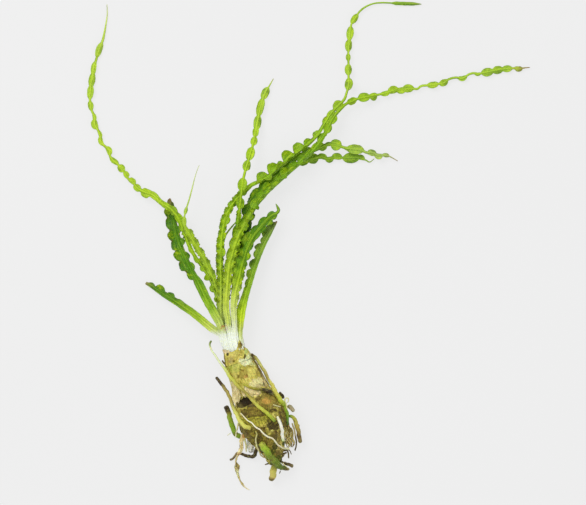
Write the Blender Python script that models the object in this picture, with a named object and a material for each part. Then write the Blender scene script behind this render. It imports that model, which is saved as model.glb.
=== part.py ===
"""A bare-root crinum lying on a flat surface: bulb, neck, twelve crisped leaves, roots and loose skins.

Units are metres and +Z is up. The plant lies on the surface Z = 0, and the leaf tips point to +Y.
Each route is a list of points (across, down, height): across and down are pixels of the photograph's
586 x 505 frame, which looks straight down on the plant, and height is in millimetres over the surface.
"""

import math

import bmesh
import bpy
import numpy as np
from mathutils import Vector

# Driving dimensions
PLANT_LENGTH = 0.2928  # from the highest leaf tip to the lowest root tip
PLANT_LENGTH_PIXELS = 488
PIXEL = PLANT_LENGTH / PLANT_LENGTH_PIXELS
MIDDLE_ACROSS = 308.8  # the pixel column at X = 0
MIDDLE_DOWN = 245.9  # the pixel row at Y = 0
MM = 0.001
SAME_POINT = 0.002 * MM

# Leaf sections
LEAF_SIDES = 4  # right margin, channel, left margin, keel
PLAIN_STEP = 9 * MM  # between stations where a leaf is smooth
CLOSEST_STATIONS = 0.5 * MM
TANGENT_REACH = 0.8 * MM  # each way from a point, for the direction of a route
LOBE_SWAY = 16.0  # degrees that a lobe tips up or down from its blade
LOBE_MARKS = (-1.0, -0.6, 0.0, 0.6, 1.0)
CRISP_STATIONS = 4  # in one wave of a crisped margin

# Bulb sections
BULB_SIDES = 16
BULB_DEPTH = 0.97  # thickness over width
WIDE_BUMP = 0.018  # parts of the radius
NARROW_BUMP = 0.012
SMOOTH_BELOW = -0.3  # sine of the angle under which the bulb's underside stays plain
NECK_SIDES = 14
SKIN_GAP = 0.55  # mm between the bulb's skin and what lies on it

# Root sections
ROOT_UNIT = 1.0 * MM  # the radius of a root point whose size is 1
ROOT_PITCH = 4.6  # radii between stations
THINNEST_PITCH = 0.7  # mm, the least radius that sets a pitch

# Colours, roughness
LEAF_GREEN = (0.26, 0.47, 0.03)
LEAF_DARK = (0.10, 0.27, 0.02)
NECK_WHITE = (0.83, 0.87, 0.70)
BULB_TAN = (0.48, 0.41, 0.12)
ROOT_GREEN = (0.45, 0.52, 0.10)
ROOT_BROWN = (0.13, 0.10, 0.04)
ROOT_CREAM = (0.76, 0.72, 0.47)
SKIN_TAN = (0.62, 0.54, 0.26)
NATURAL_ROUGHNESS = 0.5


for old in list(bpy.data.objects):
    bpy.data.objects.remove(old)

collection = bpy.data.collections.new("crinum")
bpy.context.scene.collection.children.link(collection)


def place(across, down, height):
    """The point in metres of a pixel of the photograph and a height in millimetres."""
    return Vector(((across - MIDDLE_ACROSS) * PIXEL, (MIDDLE_DOWN - down) * PIXEL, height * MM))


def finish_with(obj, colour):
    material = bpy.data.materials.new(obj.name)
    material.use_nodes = True
    shader = material.node_tree.nodes["Principled BSDF"]
    shader.inputs["Base Color"].default_value = (*colour, 1.0)
    shader.inputs["Roughness"].default_value = NATURAL_ROUGHNESS
    shader.inputs["Metallic"].default_value = 0.0
    obj.data.materials.append(material)
    collection.objects.link(obj)
    return obj


def loft(name, rings, colour):
    """A closed body through rings of points: a grid is wrapped round them and its seam is merged.
    A ring whose points coincide closes to a point, and the other end rings are filled."""
    sides = len(rings[0])
    last = len(rings) - 1
    mesh = bmesh.new()
    bmesh.ops.create_grid(mesh, x_segments=sides, y_segments=last, size=1.0)
    reach = max(vert.co.x for vert in mesh.verts)
    for vert in mesh.verts:
        column = round((vert.co.x / reach + 1.0) / 2.0 * sides)
        row = round((vert.co.y / reach + 1.0) / 2.0 * last)
        vert.co = rings[row][column % sides]
    bmesh.ops.remove_doubles(mesh, verts=mesh.verts, dist=SAME_POINT)
    bmesh.ops.holes_fill(mesh, edges=mesh.edges, sides=0)
    bmesh.ops.triangulate(mesh, faces=mesh.faces)
    bmesh.ops.recalc_face_normals(mesh, faces=mesh.faces)
    data = bpy.data.meshes.new(name)
    mesh.to_mesh(data)
    mesh.free()
    data.shade_smooth()
    return finish_with(bpy.data.objects.new(name, data), colour)


class Route:
    """A smooth curve through the given points, read by the distance along it."""

    PER_SPAN = 12

    def __init__(self, points):
        knots = [place(*point) for point in points]
        knots = [2 * knots[0] - knots[1]] + knots + [2 * knots[-1] - knots[-2]]
        path = []
        for a, b, c, d in zip(knots, knots[1:], knots[2:], knots[3:]):
            for i in range(self.PER_SPAN):
                t = i / self.PER_SPAN
                path.append(
                    0.5
                    * (
                        2 * b
                        + (c - a) * t
                        + (2 * a - 5 * b + 4 * c - d) * t * t
                        + (3 * b - a - 3 * c + d) * t * t * t
                    )
                )
        path.append(knots[-2])
        self.path = np.array([tuple(p) for p in path])
        steps = np.linalg.norm(np.diff(self.path, axis=0), axis=1)
        self.marks = np.concatenate([[0.0], np.cumsum(steps)])
        self.length = float(self.marks[-1])

    def at(self, s):
        return Vector([float(np.interp(s, self.marks, self.path[:, k])) for k in range(3)])

    def along(self, s):
        ahead = self.at(min(s + TANGENT_REACH, self.length))
        return (ahead - self.at(max(s - TANGENT_REACH, 0.0))).normalized()

    def nearest(self, across, down):
        """The distance along the route of its point closest to a pixel, seen from above."""
        target = place(across, down, 0.0)
        apart = np.hypot(self.path[:, 0] - target.x, self.path[:, 1] - target.y)
        return float(self.marks[int(np.argmin(apart))])


def row_at(rows, share):
    """The values of a table of (share of the length, values...) at one share."""
    shares = [row[0] for row in rows]
    return [float(np.interp(share, shares, [row[k] for row in rows])) for k in range(1, len(rows[0]))]


def blade_rings(route, blade, stance, lobes, crisp, straight_base, blunt_tip):
    """The sections of one leaf. blade holds (share, left, right, thick) in mm, stance holds
    (share, roll, opening) in degrees, lobes holds (across, down, long, left, right) in pixels,
    and crisp holds (from share, to share, pitch, height) in mm."""
    length = route.length
    swells = []
    for i, (across, down, long, left, right) in enumerate(lobes):
        middle = route.nearest(across, down)
        swells.append((middle, long * PIXEL / 2, left * PIXEL, right * PIXEL, (-1) ** i))
    marks = []
    for middle, half, _, _, _ in swells:
        marks += [middle + share * half for share in LOBE_MARKS]
    for first, final, pitch, _ in crisp:
        count = round((final - first) * length / (pitch * MM) * CRISP_STATIONS)
        for i in range(count + 1):
            s = (first + (final - first) * i / count) * length
            if all(abs(s - middle) > half for middle, half, _, _, _ in swells):
                marks.append(s)
    marks = [s for s in sorted(marks) if s <= length - CLOSEST_STATIONS] + [length]
    stations = [0.0]
    for s in marks:
        start = stations[-1]
        if s - start >= CLOSEST_STATIONS:
            count = math.ceil((s - start) / PLAIN_STEP)
            stations += [start + (s - start) * k / count for k in range(1, count + 1)]

    rings = []
    for s in stations:
        share = s / length
        left, right, thick = (value * MM for value in row_at(blade, share))
        roll, opening = row_at(stance, share)
        tip_left = tip_right = 0.0
        for middle, half, lobe_left, lobe_right, sign in swells:
            offset = (s - middle) / half
            if abs(offset) < 1.0:
                swell = math.sqrt(1.0 - offset * offset)
                if lobe_left:
                    left = max(left, left + (lobe_left - left) * swell)
                    tip_left += sign * LOBE_SWAY * swell
                if lobe_right:
                    right = max(right, right + (lobe_right - right) * swell)
                    tip_right -= sign * LOBE_SWAY * swell
        for first, final, pitch, height in crisp:
            if first <= share <= final:
                turn = 2 * math.pi * (share - first) * length / (pitch * MM)
                left += height * MM * (0.5 - 0.5 * math.cos(turn))
                right += height * MM * (0.5 + 0.5 * math.cos(turn))
                tip_left += LOBE_SWAY * math.sin(turn / 2)
                tip_right += LOBE_SWAY * math.cos(turn / 2)
        centre = route.at(s)
        along = route.along(s)
        if straight_base and s == 0.0:
            along = Vector((0.0, 1.0, 0.0))
        across = along.cross(Vector((0.0, 0.0, 1.0))).normalized()
        up = across.cross(along).normalized()

        def towards(degrees, distance):
            turn = math.radians(degrees)
            return centre + (across * math.cos(turn) + up * math.sin(turn)) * distance

        if s == length and not blunt_tip:
            rings.append([centre] * LEAF_SIDES)
            continue
        rings.append(
            [
                towards(roll - opening / 2 + tip_right, right),
                towards(roll, thick / 2),
                towards(roll + opening / 2 + tip_left, left),
                towards(roll + 180.0, thick / 2),
            ]
        )
    return rings


FLAT = [(0.0, 90.0, 170.0), (1.0, 90.0, 170.0)]


def leaf(
    name, points, blade, stance=FLAT, lobes=(), crisp=(), colour=LEAF_GREEN, straight=True, blunt=False
):
    route = Route(points)
    return loft(name, blade_rings(route, blade, stance, lobes, crisp, straight, blunt), colour)


# The bulb: sections from the neck down to the root plate. Each section runs from a point on its left
# edge to one on its right edge, with the height of its middle over the surface.
BULB_SECTIONS = [
    (224.5, 353.0, 246.4, 347.2, 12.4),
    (225.3, 362.0, 250.2, 353.6, 12.4),
    (227.0, 370.0, 255.2, 360.8, 12.4),
    (229.0, 378.0, 260.2, 368.6, 12.4),
    (232.0, 387.0, 265.0, 377.0, 12.4),
    (234.0, 396.0, 271.0, 386.4, 12.3),
    (235.5, 406.0, 278.0, 395.8, 12.3),
    (237.5, 416.0, 282.0, 406.5, 12.3),
    (240.0, 426.0, 284.2, 417.5, 12.3),
    (244.5, 435.6, 284.4, 428.4, 12.2),
    (251.0, 443.6, 284.0, 438.4, 11.4),
    (258.0, 451.4, 283.0, 447.6, 10.2),
    (264.0, 458.2, 281.4, 456.2, 9.2),
    (268.2, 464.0, 279.4, 463.2, 8.6),
]
BULB_TIP = (273.5, 467.0, 8.4)


def bulb_rings():
    rings = []
    for i, (left, left_down, right, right_down, height) in enumerate(BULB_SECTIONS):
        a = place(left, left_down, height)
        b = place(right, right_down, height)
        middle = (a + b) / 2
        half = (b - a) / 2
        depth = half.length * BULB_DEPTH
        ring = []
        for k in range(BULB_SIDES):
            turn = 2 * math.pi * (k + 0.5) / BULB_SIDES
            bump = 1.0 + WIDE_BUMP * math.sin(3 * turn + 1.3 * i)
            bump += NARROW_BUMP * math.sin(5 * turn - 0.8 * i)
            if math.sin(turn) < SMOOTH_BELOW:
                bump = 1.0
            point = middle + half * (math.cos(turn) * bump)
            point.z = max(0.0, middle.z + depth * math.sin(turn) * bump)
            ring.append(point)
        rings.append(ring)
    rings.append([place(*BULB_TIP)] * BULB_SIDES)
    return rings


loft("bulb", bulb_rings(), BULB_TAN)


def skin(across, down, above):
    """A route point that lies above millimetres off the bulb's skin, over a pixel inside its outline."""
    here = place(across, down, 0.0)
    best = None
    for first, second in zip(BULB_SECTIONS, BULB_SECTIONS[1:]):
        ends = []
        for left, left_down, right, right_down, height in (first, second):
            a = place(left, left_down, height)
            b = place(right, right_down, height)
            ends.append(((a + b) / 2, (b - a).length / 2))
        (start, start_half), (stop, stop_half) = ends
        run = stop - start
        run.z = 0.0
        share = (here - start).xy.dot(run.xy) / run.length_squared
        share = min(max(share, 0.0), 1.0)
        middle = start.lerp(stop, share)
        half = start_half + (stop_half - start_half) * share
        side = (here - middle).xy.length
        if best is None or side < best[0]:
            best = (side, middle, half)
    side, middle, half = best
    clear = half + above * MM
    rise = math.sqrt(max(0.0, 1.0 - (side / clear) ** 2))
    return (across, down, middle.z / MM + (half * BULB_DEPTH / MM + above) * rise)


# The neck: white leaf sheaths packed into one column, which widens to the leaf bases.
NECK_SECTIONS = [
    (225.2, 352.1, 245.6, 346.2, 6.0),
    (223.2, 346.0, 244.5, 341.2, 6.3),
    (220.8, 339.5, 243.6, 336.0, 6.9),
    (217.6, 333.0, 243.3, 330.6, 7.6),
    (215.6, 326.6, 243.3, 326.6, 8.3),
]
NECK_HEIGHT = 12.5


def neck_rings():
    rings = []
    for left, left_down, right, right_down, depth in NECK_SECTIONS:
        a = place(left, left_down, NECK_HEIGHT)
        b = place(right, right_down, NECK_HEIGHT)
        ring = []
        for k in range(NECK_SIDES):
            turn = 2 * math.pi * k / NECK_SIDES
            point = (a + b) / 2 + (b - a) / 2 * math.cos(turn)
            point.z += depth * MM * math.sin(turn)
            ring.append(point)
        rings.append(ring)
    return rings


loft("neck", neck_rings(), NECK_WHITE)

# Leaves at the left
leaf(
    "leaf_left_stub",
    [
        (213.4, 328.2, 13.0), (209.0, 324.8, 12.7), (200.0, 317.2, 11.4), (190.0, 309.8, 9.6),
        (180.0, 303.2, 7.9), (170.0, 297.0, 6.2), (160.0, 290.8, 4.6), (152.0, 285.8, 3.3),
        (146.0, 282.8, 2.4),
    ],
    blade=[(0.0, 2.3, 2.3, 2.6), (0.45, 2.2, 2.2, 2.2), (0.75, 1.8, 1.8, 1.7), (1.0, 0.9, 0.9, 1.0)],
    stance=[(0.0, 90.0, 160.0), (1.0, 80.0, 150.0)],
    lobes=[(180, 303, 7, 0, 4.4), (171, 297, 9, 0, 5.6), (161, 291, 10, 0, 6.0), (152, 286, 7, 0, 3.2)],
    colour=LEAF_DARK,
    straight=False,
    blunt=True,
)
leaf(
    "leaf_left_dark",
    [
        (220.3, 325.2, 18.6), (219.4, 322.0, 18.4), (216.2, 316.5, 17.7), (212.2, 310.5, 16.6),
        (206.8, 301.5, 14.8), (201.5, 291.0, 12.8), (196.0, 280.0, 10.8), (191.5, 271.0, 9.2),
        (187.2, 262.5, 7.8), (183.2, 254.0, 6.6), (179.6, 244.0, 5.4), (176.2, 232.0, 4.4),
        (173.3, 220.0, 3.7), (171.0, 208.0, 3.2), (169.5, 198.0, 2.6),
    ],
    blade=[
        (0.0, 2.2, 2.2, 2.6), (0.1, 2.6, 2.6, 2.6), (0.35, 2.7, 2.7, 2.4), (0.4, 1.8, 1.8, 2.2),
        (0.8, 1.7, 1.6, 1.7), (0.95, 1.3, 1.2, 1.3), (1.0, 0.5, 0.5, 0.8),
    ],
    stance=[(0.0, 90.0, 160.0), (1.0, 90.0, 150.0)],
    lobes=[
        (191.5, 277.0, 8, 5.2, 0), (189.5, 267.5, 9, 0, 5.6), (186.0, 265.0, 10, 7.6, 0),
        (184.0, 256.5, 9, 0, 5.4), (182.0, 255.0, 9, 7.6, 0), (179.0, 242.0, 8, 0, 6.0),
        (179.5, 245.0, 8, 7.6, 0), (177.0, 235.0, 9, 7.4, 0), (175.5, 230.0, 8, 0, 5.2),
        (174.0, 223.0, 9, 7.2, 0), (173.0, 218.5, 8, 0, 4.8), (171.8, 211.5, 8, 6.4, 0),
        (170.8, 206.0, 8, 0, 3.4), (170.3, 202.0, 7, 3.2, 0),
    ],
    colour=LEAF_DARK,
)
leaf(
    "leaf_left_long",
    [
        (219.8, 325.2, 7.2), (219.9, 320.5, 7.2), (218.8, 306.0, 7.2), (215.8, 294.0, 7.3),
        (211.4, 281.0, 7.5), (206.2, 269.0, 7.7), (200.2, 258.5, 7.9), (193.8, 249.5, 8.1),
        (187.3, 239.5, 8.3), (182.0, 229.0, 8.6), (176.2, 218.0, 9.0), (168.5, 207.0, 9.2),
        (162.5, 203.8, 8.6), (158.5, 200.5, 7.8), (154.0, 195.8, 7.0), (149.5, 193.6, 6.4),
        (146.0, 192.6, 6.0), (140.0, 190.0, 5.3), (136.2, 186.8, 4.8), (132.6, 181.6, 4.4),
        (127.8, 178.3, 4.0), (125.8, 174.0, 3.8), (121.0, 168.3, 3.5), (116.5, 163.0, 3.3),
        (112.5, 160.0, 3.2), (109.8, 156.0, 3.0), (108.8, 150.0, 2.9), (104.8, 146.3, 2.8),
        (100.5, 142.0, 2.7), (99.8, 135.0, 2.6), (97.5, 129.5, 2.6), (94.3, 124.3, 2.5),
        (94.0, 116.5, 2.5), (91.2, 109.8, 2.4), (90.3, 105.0, 2.4), (89.6, 99.5, 2.3),
        (90.5, 87.0, 2.3), (92.2, 76.0, 2.3), (93.5, 66.0, 2.2), (95.6, 60.0, 2.1),
        (98.3, 50.0, 2.1), (102.0, 41.0, 1.9), (103.7, 34.0, 1.7), (105.3, 25.0, 1.4),
        (106.8, 14.0, 1.1), (106.5, 3.5, 0.8),
    ],
    blade=[
        (0.0, 1.8, 1.8, 2.2), (0.2, 1.5, 1.6, 2.0), (0.33, 1.4, 2.2, 1.9), (0.42, 1.4, 1.8, 1.7),
        (0.46, 0.8, 0.8, 1.3), (0.7, 0.75, 0.75, 1.2), (0.9, 0.8, 0.8, 1.1), (0.94, 0.5, 0.5, 0.7),
        (1.0, 0.2, 0.2, 0.3),
    ],
    stance=[(0.0, 90.0, 150.0), (0.3, 90.0, 150.0), (0.46, 90.0, 165.0), (1.0, 90.0, 170.0)],
    lobes=[
        (181.0, 227.0, 9, 0, 4.8), (176.5, 218.5, 9, 0, 5.4), (171.0, 210.5, 8, 0, 4.6),
        (165.5, 205.0, 7, 3.0, 3.0), (154.0, 195.8, 9, 3.4, 3.4), (146.0, 192.6, 10, 5.4, 4.2),
        (137.0, 187.5, 8, 3.4, 3.6), (131.8, 181.2, 8, 2.6, 3.4), (126.0, 174.5, 7, 2.8, 3.0),
        (121.0, 168.3, 8, 3.8, 4.0), (114.0, 161.0, 10, 2.6, 2.8), (108.9, 150.5, 9, 2.8, 3.0),
        (100.3, 141.3, 9, 2.4, 2.4), (100.0, 134.0, 7, 1.6, 2.2), (94.3, 124.3, 10, 3.6, 3.2),
        (94.2, 117.0, 7, 2.0, 2.2), (90.6, 105.5, 9, 2.8, 2.8), (89.9, 92.0, 14, 3.4, 3.4),
        (91.6, 80.0, 14, 3.4, 3.4), (93.2, 68.0, 13, 2.8, 2.8), (98.6, 49.5, 15, 3.2, 3.2),
    ],
    crisp=[(0.12, 0.30, 5.0, 1.0)],
)
leaf(
    "leaf_left_whisker",
    [
        (222.6, 325.2, 10.7), (222.2, 320.5, 10.7), (220.5, 306.0, 10.5), (217.6, 292.0, 10.6),
        (213.6, 279.0, 11.0), (209.6, 268.5, 11.4), (204.6, 258.5, 11.9), (198.6, 247.5, 12.4),
        (193.2, 238.5, 12.9), (188.2, 231.0, 13.2), (184.8, 224.5, 13.4), (184.4, 218.0, 13.2),
        (186.3, 209.5, 12.7), (189.2, 200.0, 12.0), (192.0, 189.5, 11.2), (194.8, 178.0, 10.3),
        (197.5, 169.5, 9.7), (199.5, 165.0, 9.4),
    ],
    blade=[
        (0.0, 1.5, 1.5, 1.8), (0.2, 1.4, 1.4, 1.7), (0.5, 1.3, 1.6, 1.6), (0.6, 0.9, 0.9, 1.2),
        (0.65, 0.5, 0.5, 0.8), (0.8, 0.45, 0.45, 0.6), (1.0, 0.15, 0.15, 0.25),
    ],
    stance=[(0.0, 90.0, 150.0), (1.0, 90.0, 165.0)],
    lobes=[
        (211.0, 271.0, 7, 0, 3.8), (207.5, 264.0, 7, 0, 3.8), (204.0, 257.0, 8, 0, 4.4),
        (197.0, 244.5, 9, 0, 3.8), (193.0, 238.0, 8, 0, 3.6), (188.2, 231.0, 8, 0, 4.0),
        (184.5, 221.5, 9, 2.4, 2.4), (186.0, 211.0, 7, 1.9, 1.9),
    ],
    crisp=[(0.10, 0.30, 4.6, 0.8)],
)

# Leaves of the bundle
leaf(
    "leaf_upright_right",
    [
        (220.9, 325.2, 14.6), (221.1, 320.5, 14.6), (221.3, 300.0, 14.2), (221.2, 280.0, 13.8),
        (221.0, 262.0, 13.3), (221.3, 246.0, 12.9), (222.4, 233.0, 12.4), (225.0, 220.5, 11.9),
        (228.4, 211.5, 11.4), (233.0, 203.5, 10.9), (239.0, 196.8, 10.5), (246.0, 190.0, 10.2),
        (252.0, 185.3, 10.0), (258.5, 181.5, 10.0), (265.0, 177.5, 10.0), (271.0, 173.3, 10.0),
        (277.0, 168.4, 10.0), (283.0, 163.2, 10.0), (289.0, 158.2, 10.0), (295.0, 153.5, 10.0),
        (301.0, 149.0, 10.0), (307.0, 144.5, 9.9), (313.0, 139.5, 9.8), (319.0, 132.8, 9.6),
        (324.0, 125.2, 9.3), (329.0, 117.0, 9.0), (334.0, 110.5, 8.3), (339.5, 104.6, 7.6),
        (344.5, 99.0, 7.1), (346.6, 93.0, 6.7), (348.8, 84.0, 6.2), (348.6, 76.0, 5.4),
        (348.4, 69.5, 4.8), (348.5, 62.0, 4.2), (348.3, 56.0, 3.7), (348.7, 46.0, 3.1),
        (350.2, 33.0, 2.7), (351.5, 24.0, 2.5), (355.0, 18.0, 2.4), (359.8, 11.0, 2.2),
        (366.0, 6.2, 2.1), (374.0, 3.0, 2.0), (384.0, 2.2, 1.9), (396.0, 2.8, 1.8),
        (408.0, 3.2, 1.6), (422.0, 3.6, 1.3),
    ],
    blade=[
        (0.0, 1.8, 1.8, 2.3), (0.06, 1.7, 1.6, 2.3), (0.14, 2.2, 1.5, 2.2), (0.2, 2.4, 1.5, 2.1),
        (0.28, 1.9, 1.5, 1.9), (0.34, 1.7, 1.5, 1.8), (0.52, 1.8, 1.2, 1.7), (0.62, 1.0, 0.9, 1.5),
        (0.66, 0.7, 0.7, 1.1), (0.86, 0.6, 0.6, 1.0), (0.88, 0.5, 0.5, 0.7), (0.93, 0.5, 0.5, 0.7),
        (0.94, 1.1, 1.1, 0.8), (0.98, 1.1, 1.1, 0.7), (1.0, 0.2, 0.2, 0.3),
    ],
    stance=[
        (0.0, 90.0, 160.0), (0.28, 95.0, 150.0), (0.36, 165.0, 60.0), (0.40, 176.0, 44.0),
        (0.54, 174.0, 44.0), (0.60, 110.0, 130.0), (0.65, 90.0, 165.0), (1.0, 90.0, 170.0),
    ],
    lobes=[
        (221.0, 252.0, 9, 0, 4.8), (222.2, 236.0, 8, 0, 4.6), (223.2, 228.5, 9, 5.2, 0),
        (225.2, 220.0, 8, 0, 5.2), (226.3, 217.0, 8, 5.0, 0), (229.0, 210.5, 7, 4.6, 0),
        (233.0, 203.5, 8, 5.2, 0), (238.5, 197.5, 7, 5.2, 0), (263.5, 178.6, 14, 7.8, 0),
        (274.5, 170.6, 13, 9.4, 0), (288.0, 159.0, 12, 9.6, 0), (299.5, 150.2, 13, 8.8, 0),
        (309.5, 142.5, 10, 6.6, 0), (319.5, 132.3, 9, 6.0, 0), (326.5, 121.0, 8, 4.2, 0),
        (338.5, 105.6, 11, 5.6, 4.4), (348.8, 84.0, 12, 4.0, 4.2), (348.4, 69.5, 11, 3.6, 3.6),
        (348.3, 57.0, 7, 2.4, 2.4), (348.8, 45.5, 12, 3.6, 3.4), (350.2, 33.0, 14, 3.6, 3.6),
        (354.8, 18.2, 11, 3.2, 3.0),
    ],
    crisp=[(0.07, 0.16, 3.4, 0.8)],
)
leaf(
    "leaf_long_right",
    [
        (228.3, 325.2, 17.4), (228.1, 320.5, 17.4), (226.5, 310.0, 17.2), (226.4, 300.0, 17.0),
        (227.5, 285.0, 16.7), (229.1, 268.0, 16.3), (232.0, 255.0, 15.9), (236.2, 242.0, 15.3),
        (241.0, 231.0, 14.7), (246.2, 221.5, 14.1), (251.6, 213.2, 13.7), (257.0, 206.2, 13.3),
        (263.0, 199.6, 13.0), (270.0, 192.6, 12.8), (280.0, 182.6, 12.7), (290.0, 173.2, 12.6),
        (297.0, 166.4, 12.5), (304.0, 159.0, 12.4), (311.0, 152.0, 12.2), (317.0, 145.5, 12.0),
        (322.5, 138.0, 11.7), (327.0, 130.0, 11.5), (331.4, 121.8, 11.2), (335.8, 114.4, 10.9),
        (341.5, 108.0, 10.6), (347.0, 103.4, 9.3), (352.0, 101.4, 8.2), (357.0, 99.0, 7.2),
        (364.0, 97.4, 6.0), (374.0, 95.3, 5.0), (384.0, 93.3, 4.2), (394.0, 90.3, 3.6),
        (404.0, 88.8, 3.2), (412.0, 88.3, 3.0), (417.5, 88.6, 2.8), (422.0, 85.6, 2.7),
        (432.0, 84.8, 2.7), (438.0, 83.6, 2.6), (444.0, 82.5, 2.6), (449.0, 79.0, 2.5),
        (456.0, 77.2, 2.5), (463.0, 78.2, 2.4), (469.0, 74.2, 2.4), (474.0, 72.8, 2.3),
        (478.0, 74.0, 2.3), (481.5, 73.0, 2.3), (487.0, 72.0, 2.3), (500.0, 69.5, 2.3),
        (514.0, 67.8, 2.0), (519.0, 68.5, 2.0), (525.0, 67.5, 1.8), (530.7, 67.0, 1.5),
    ],
    blade=[
        (0.0, 1.8, 1.8, 2.5), (0.06, 1.6, 1.6, 2.4), (0.12, 1.7, 1.6, 2.4), (0.17, 2.6, 1.9, 2.3),
        (0.22, 2.8, 2.4, 2.2), (0.28, 2.2, 2.0, 2.2), (0.31, 2.2, 1.8, 2.2), (0.44, 2.2, 1.6, 2.0),
        (0.50, 1.3, 1.3, 1.7), (0.58, 0.9, 0.9, 1.3), (0.66, 0.75, 0.75, 1.2), (0.9, 0.7, 0.7, 1.1),
        (0.97, 0.7, 0.7, 0.8), (1.0, 0.2, 0.2, 0.3),
    ],
    stance=[
        (0.0, 90.0, 160.0), (0.20, 95.0, 140.0), (0.25, 140.0, 80.0), (0.29, 176.0, 46.0),
        (0.43, 176.0, 46.0), (0.50, 120.0, 110.0), (0.56, 90.0, 165.0), (1.0, 90.0, 170.0),
    ],
    lobes=[
        (262.0, 200.6, 12, 9.0, 4.0), (272.5, 190.2, 13, 9.2, 4.0), (284.0, 178.8, 13, 9.0, 4.0),
        (295.0, 168.4, 11, 8.0, 3.6), (304.5, 158.5, 10, 6.4, 3.0), (314.0, 148.8, 9, 4.6, 2.6),
        (323.0, 137.3, 9, 2.6, 3.2), (329.5, 125.3, 9, 3.2, 4.0), (334.5, 116.5, 9, 3.0, 4.0),
        (352.0, 101.4, 10, 3.8, 3.4), (364.0, 97.4, 12, 5.0, 4.6), (373.5, 95.4, 8, 2.8, 5.2),
        (385.5, 93.0, 9, 2.2, 3.2), (393.0, 90.6, 11, 4.8, 2.8), (401.5, 89.0, 10, 2.2, 4.6),
        (408.5, 88.5, 11, 4.6, 3.8), (433.0, 84.7, 11, 3.4, 3.4), (444.0, 82.4, 9, 3.4, 3.4),
        (463.0, 78.1, 9, 2.6, 2.6), (478.0, 74.0, 6, 1.8, 1.8), (487.5, 72.0, 12, 4.4, 4.2),
        (498.5, 69.8, 11, 4.2, 3.8), (508.0, 68.6, 10, 3.6, 3.4), (519.0, 68.5, 8, 2.6, 2.8),
    ],
    crisp=[(0.13, 0.26, 5.2, 1.0)],
)
leaf(
    "leaf_mid_right",
    [
        (233.8, 325.2, 13.2), (233.8, 320.5, 13.2), (234.6, 305.0, 12.4), (236.5, 290.0, 11.6),
        (240.0, 272.0, 10.6), (243.0, 255.0, 9.6), (245.5, 238.0, 8.7), (248.2, 222.0, 7.9),
        (251.8, 208.0, 7.5), (257.5, 196.5, 7.2), (266.0, 186.0, 7.0), (277.0, 174.6, 6.9),
        (288.0, 164.0, 6.8), (297.0, 156.2, 6.8), (305.5, 151.2, 6.8), (314.0, 148.2, 6.8),
        (323.0, 147.0, 6.6), (330.0, 145.0, 6.4), (336.0, 144.8, 6.3), (342.0, 146.8, 6.2),
        (347.0, 148.4, 6.2), (354.0, 149.2, 6.2), (362.0, 150.4, 5.9), (366.5, 152.4, 5.6),
        (372.0, 152.4, 5.2), (378.0, 155.2, 4.6), (384.0, 155.0, 3.9), (390.0, 156.4, 3.2),
        (398.2, 161.0, 2.2),
    ],
    blade=[
        (0.0, 1.7, 1.7, 2.2), (0.15, 1.8, 1.8, 2.2), (0.3, 2.0, 2.0, 2.1), (0.5, 1.9, 1.9, 1.9),
        (0.62, 1.6, 1.6, 1.8), (0.70, 1.2, 1.2, 1.5), (0.76, 0.9, 0.9, 1.3), (0.9, 0.8, 0.8, 1.0),
        (1.0, 0.2, 0.2, 0.3),
    ],
    stance=[(0.0, 90.0, 160.0), (1.0, 90.0, 165.0)],
    lobes=[
        (249.5, 218.0, 8, 0, 5.0), (314.0, 148.2, 9, 3.8, 3.8), (323.0, 147.0, 9, 3.0, 4.8),
        (335.5, 144.8, 12, 5.6, 5.8), (347.5, 148.6, 5, 2.0, 2.0), (355.0, 149.4, 17, 5.0, 4.8),
        (372.0, 152.4, 9, 3.2, 3.4), (379.0, 155.4, 8, 1.8, 4.0), (386.0, 155.2, 7, 2.4, 2.0),
    ],
    crisp=[(0.16, 0.42, 5.0, 1.2), (0.46, 0.62, 5.0, 1.0)],
)
leaf(
    "leaf_low_right",
    [
        (233.6, 325.2, 9.0), (233.7, 320.5, 8.9), (236.0, 305.0, 8.0), (240.0, 288.0, 6.9),
        (244.5, 268.0, 5.8), (248.2, 250.0, 4.9), (251.2, 232.0, 4.3), (254.8, 216.0, 3.9),
        (260.2, 203.8, 3.7), (268.5, 193.2, 3.6), (279.0, 181.8, 3.6), (290.0, 171.2, 3.6),
        (298.0, 164.4, 3.5), (305.0, 160.6, 3.5), (313.0, 158.4, 3.4), (321.0, 157.2, 3.3),
        (328.0, 158.6, 3.1), (336.0, 156.8, 2.9), (344.0, 157.8, 2.8), (352.0, 157.4, 2.6),
        (360.0, 157.4, 2.4), (366.0, 160.0, 2.1), (370.0, 161.8, 1.9), (374.5, 158.4, 1.5),
    ],
    blade=[
        (0.0, 1.7, 1.7, 2.2), (0.15, 1.8, 1.8, 2.0), (0.3, 1.9, 1.9, 1.9), (0.6, 1.7, 1.7, 1.7),
        (0.72, 1.3, 1.3, 1.5), (0.8, 0.9, 0.9, 1.2), (0.93, 0.7, 0.7, 0.9), (1.0, 0.2, 0.2, 0.3),
    ],
    stance=[(0.0, 90.0, 165.0), (1.0, 90.0, 168.0)],
    lobes=[
        (305.0, 160.6, 9, 2.6, 5.0), (313.0, 158.4, 11, 4.4, 5.6), (322.0, 157.2, 8, 3.0, 2.2),
        (329.5, 158.2, 8, 1.2, 4.4), (337.0, 156.8, 10, 3.0, 2.6), (351.5, 157.4, 17, 5.2, 3.6),
        (361.0, 157.8, 8, 3.2, 2.0),
    ],
    crisp=[(0.16, 0.42, 5.0, 1.0), (0.46, 0.68, 5.0, 1.0)],
)
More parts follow.
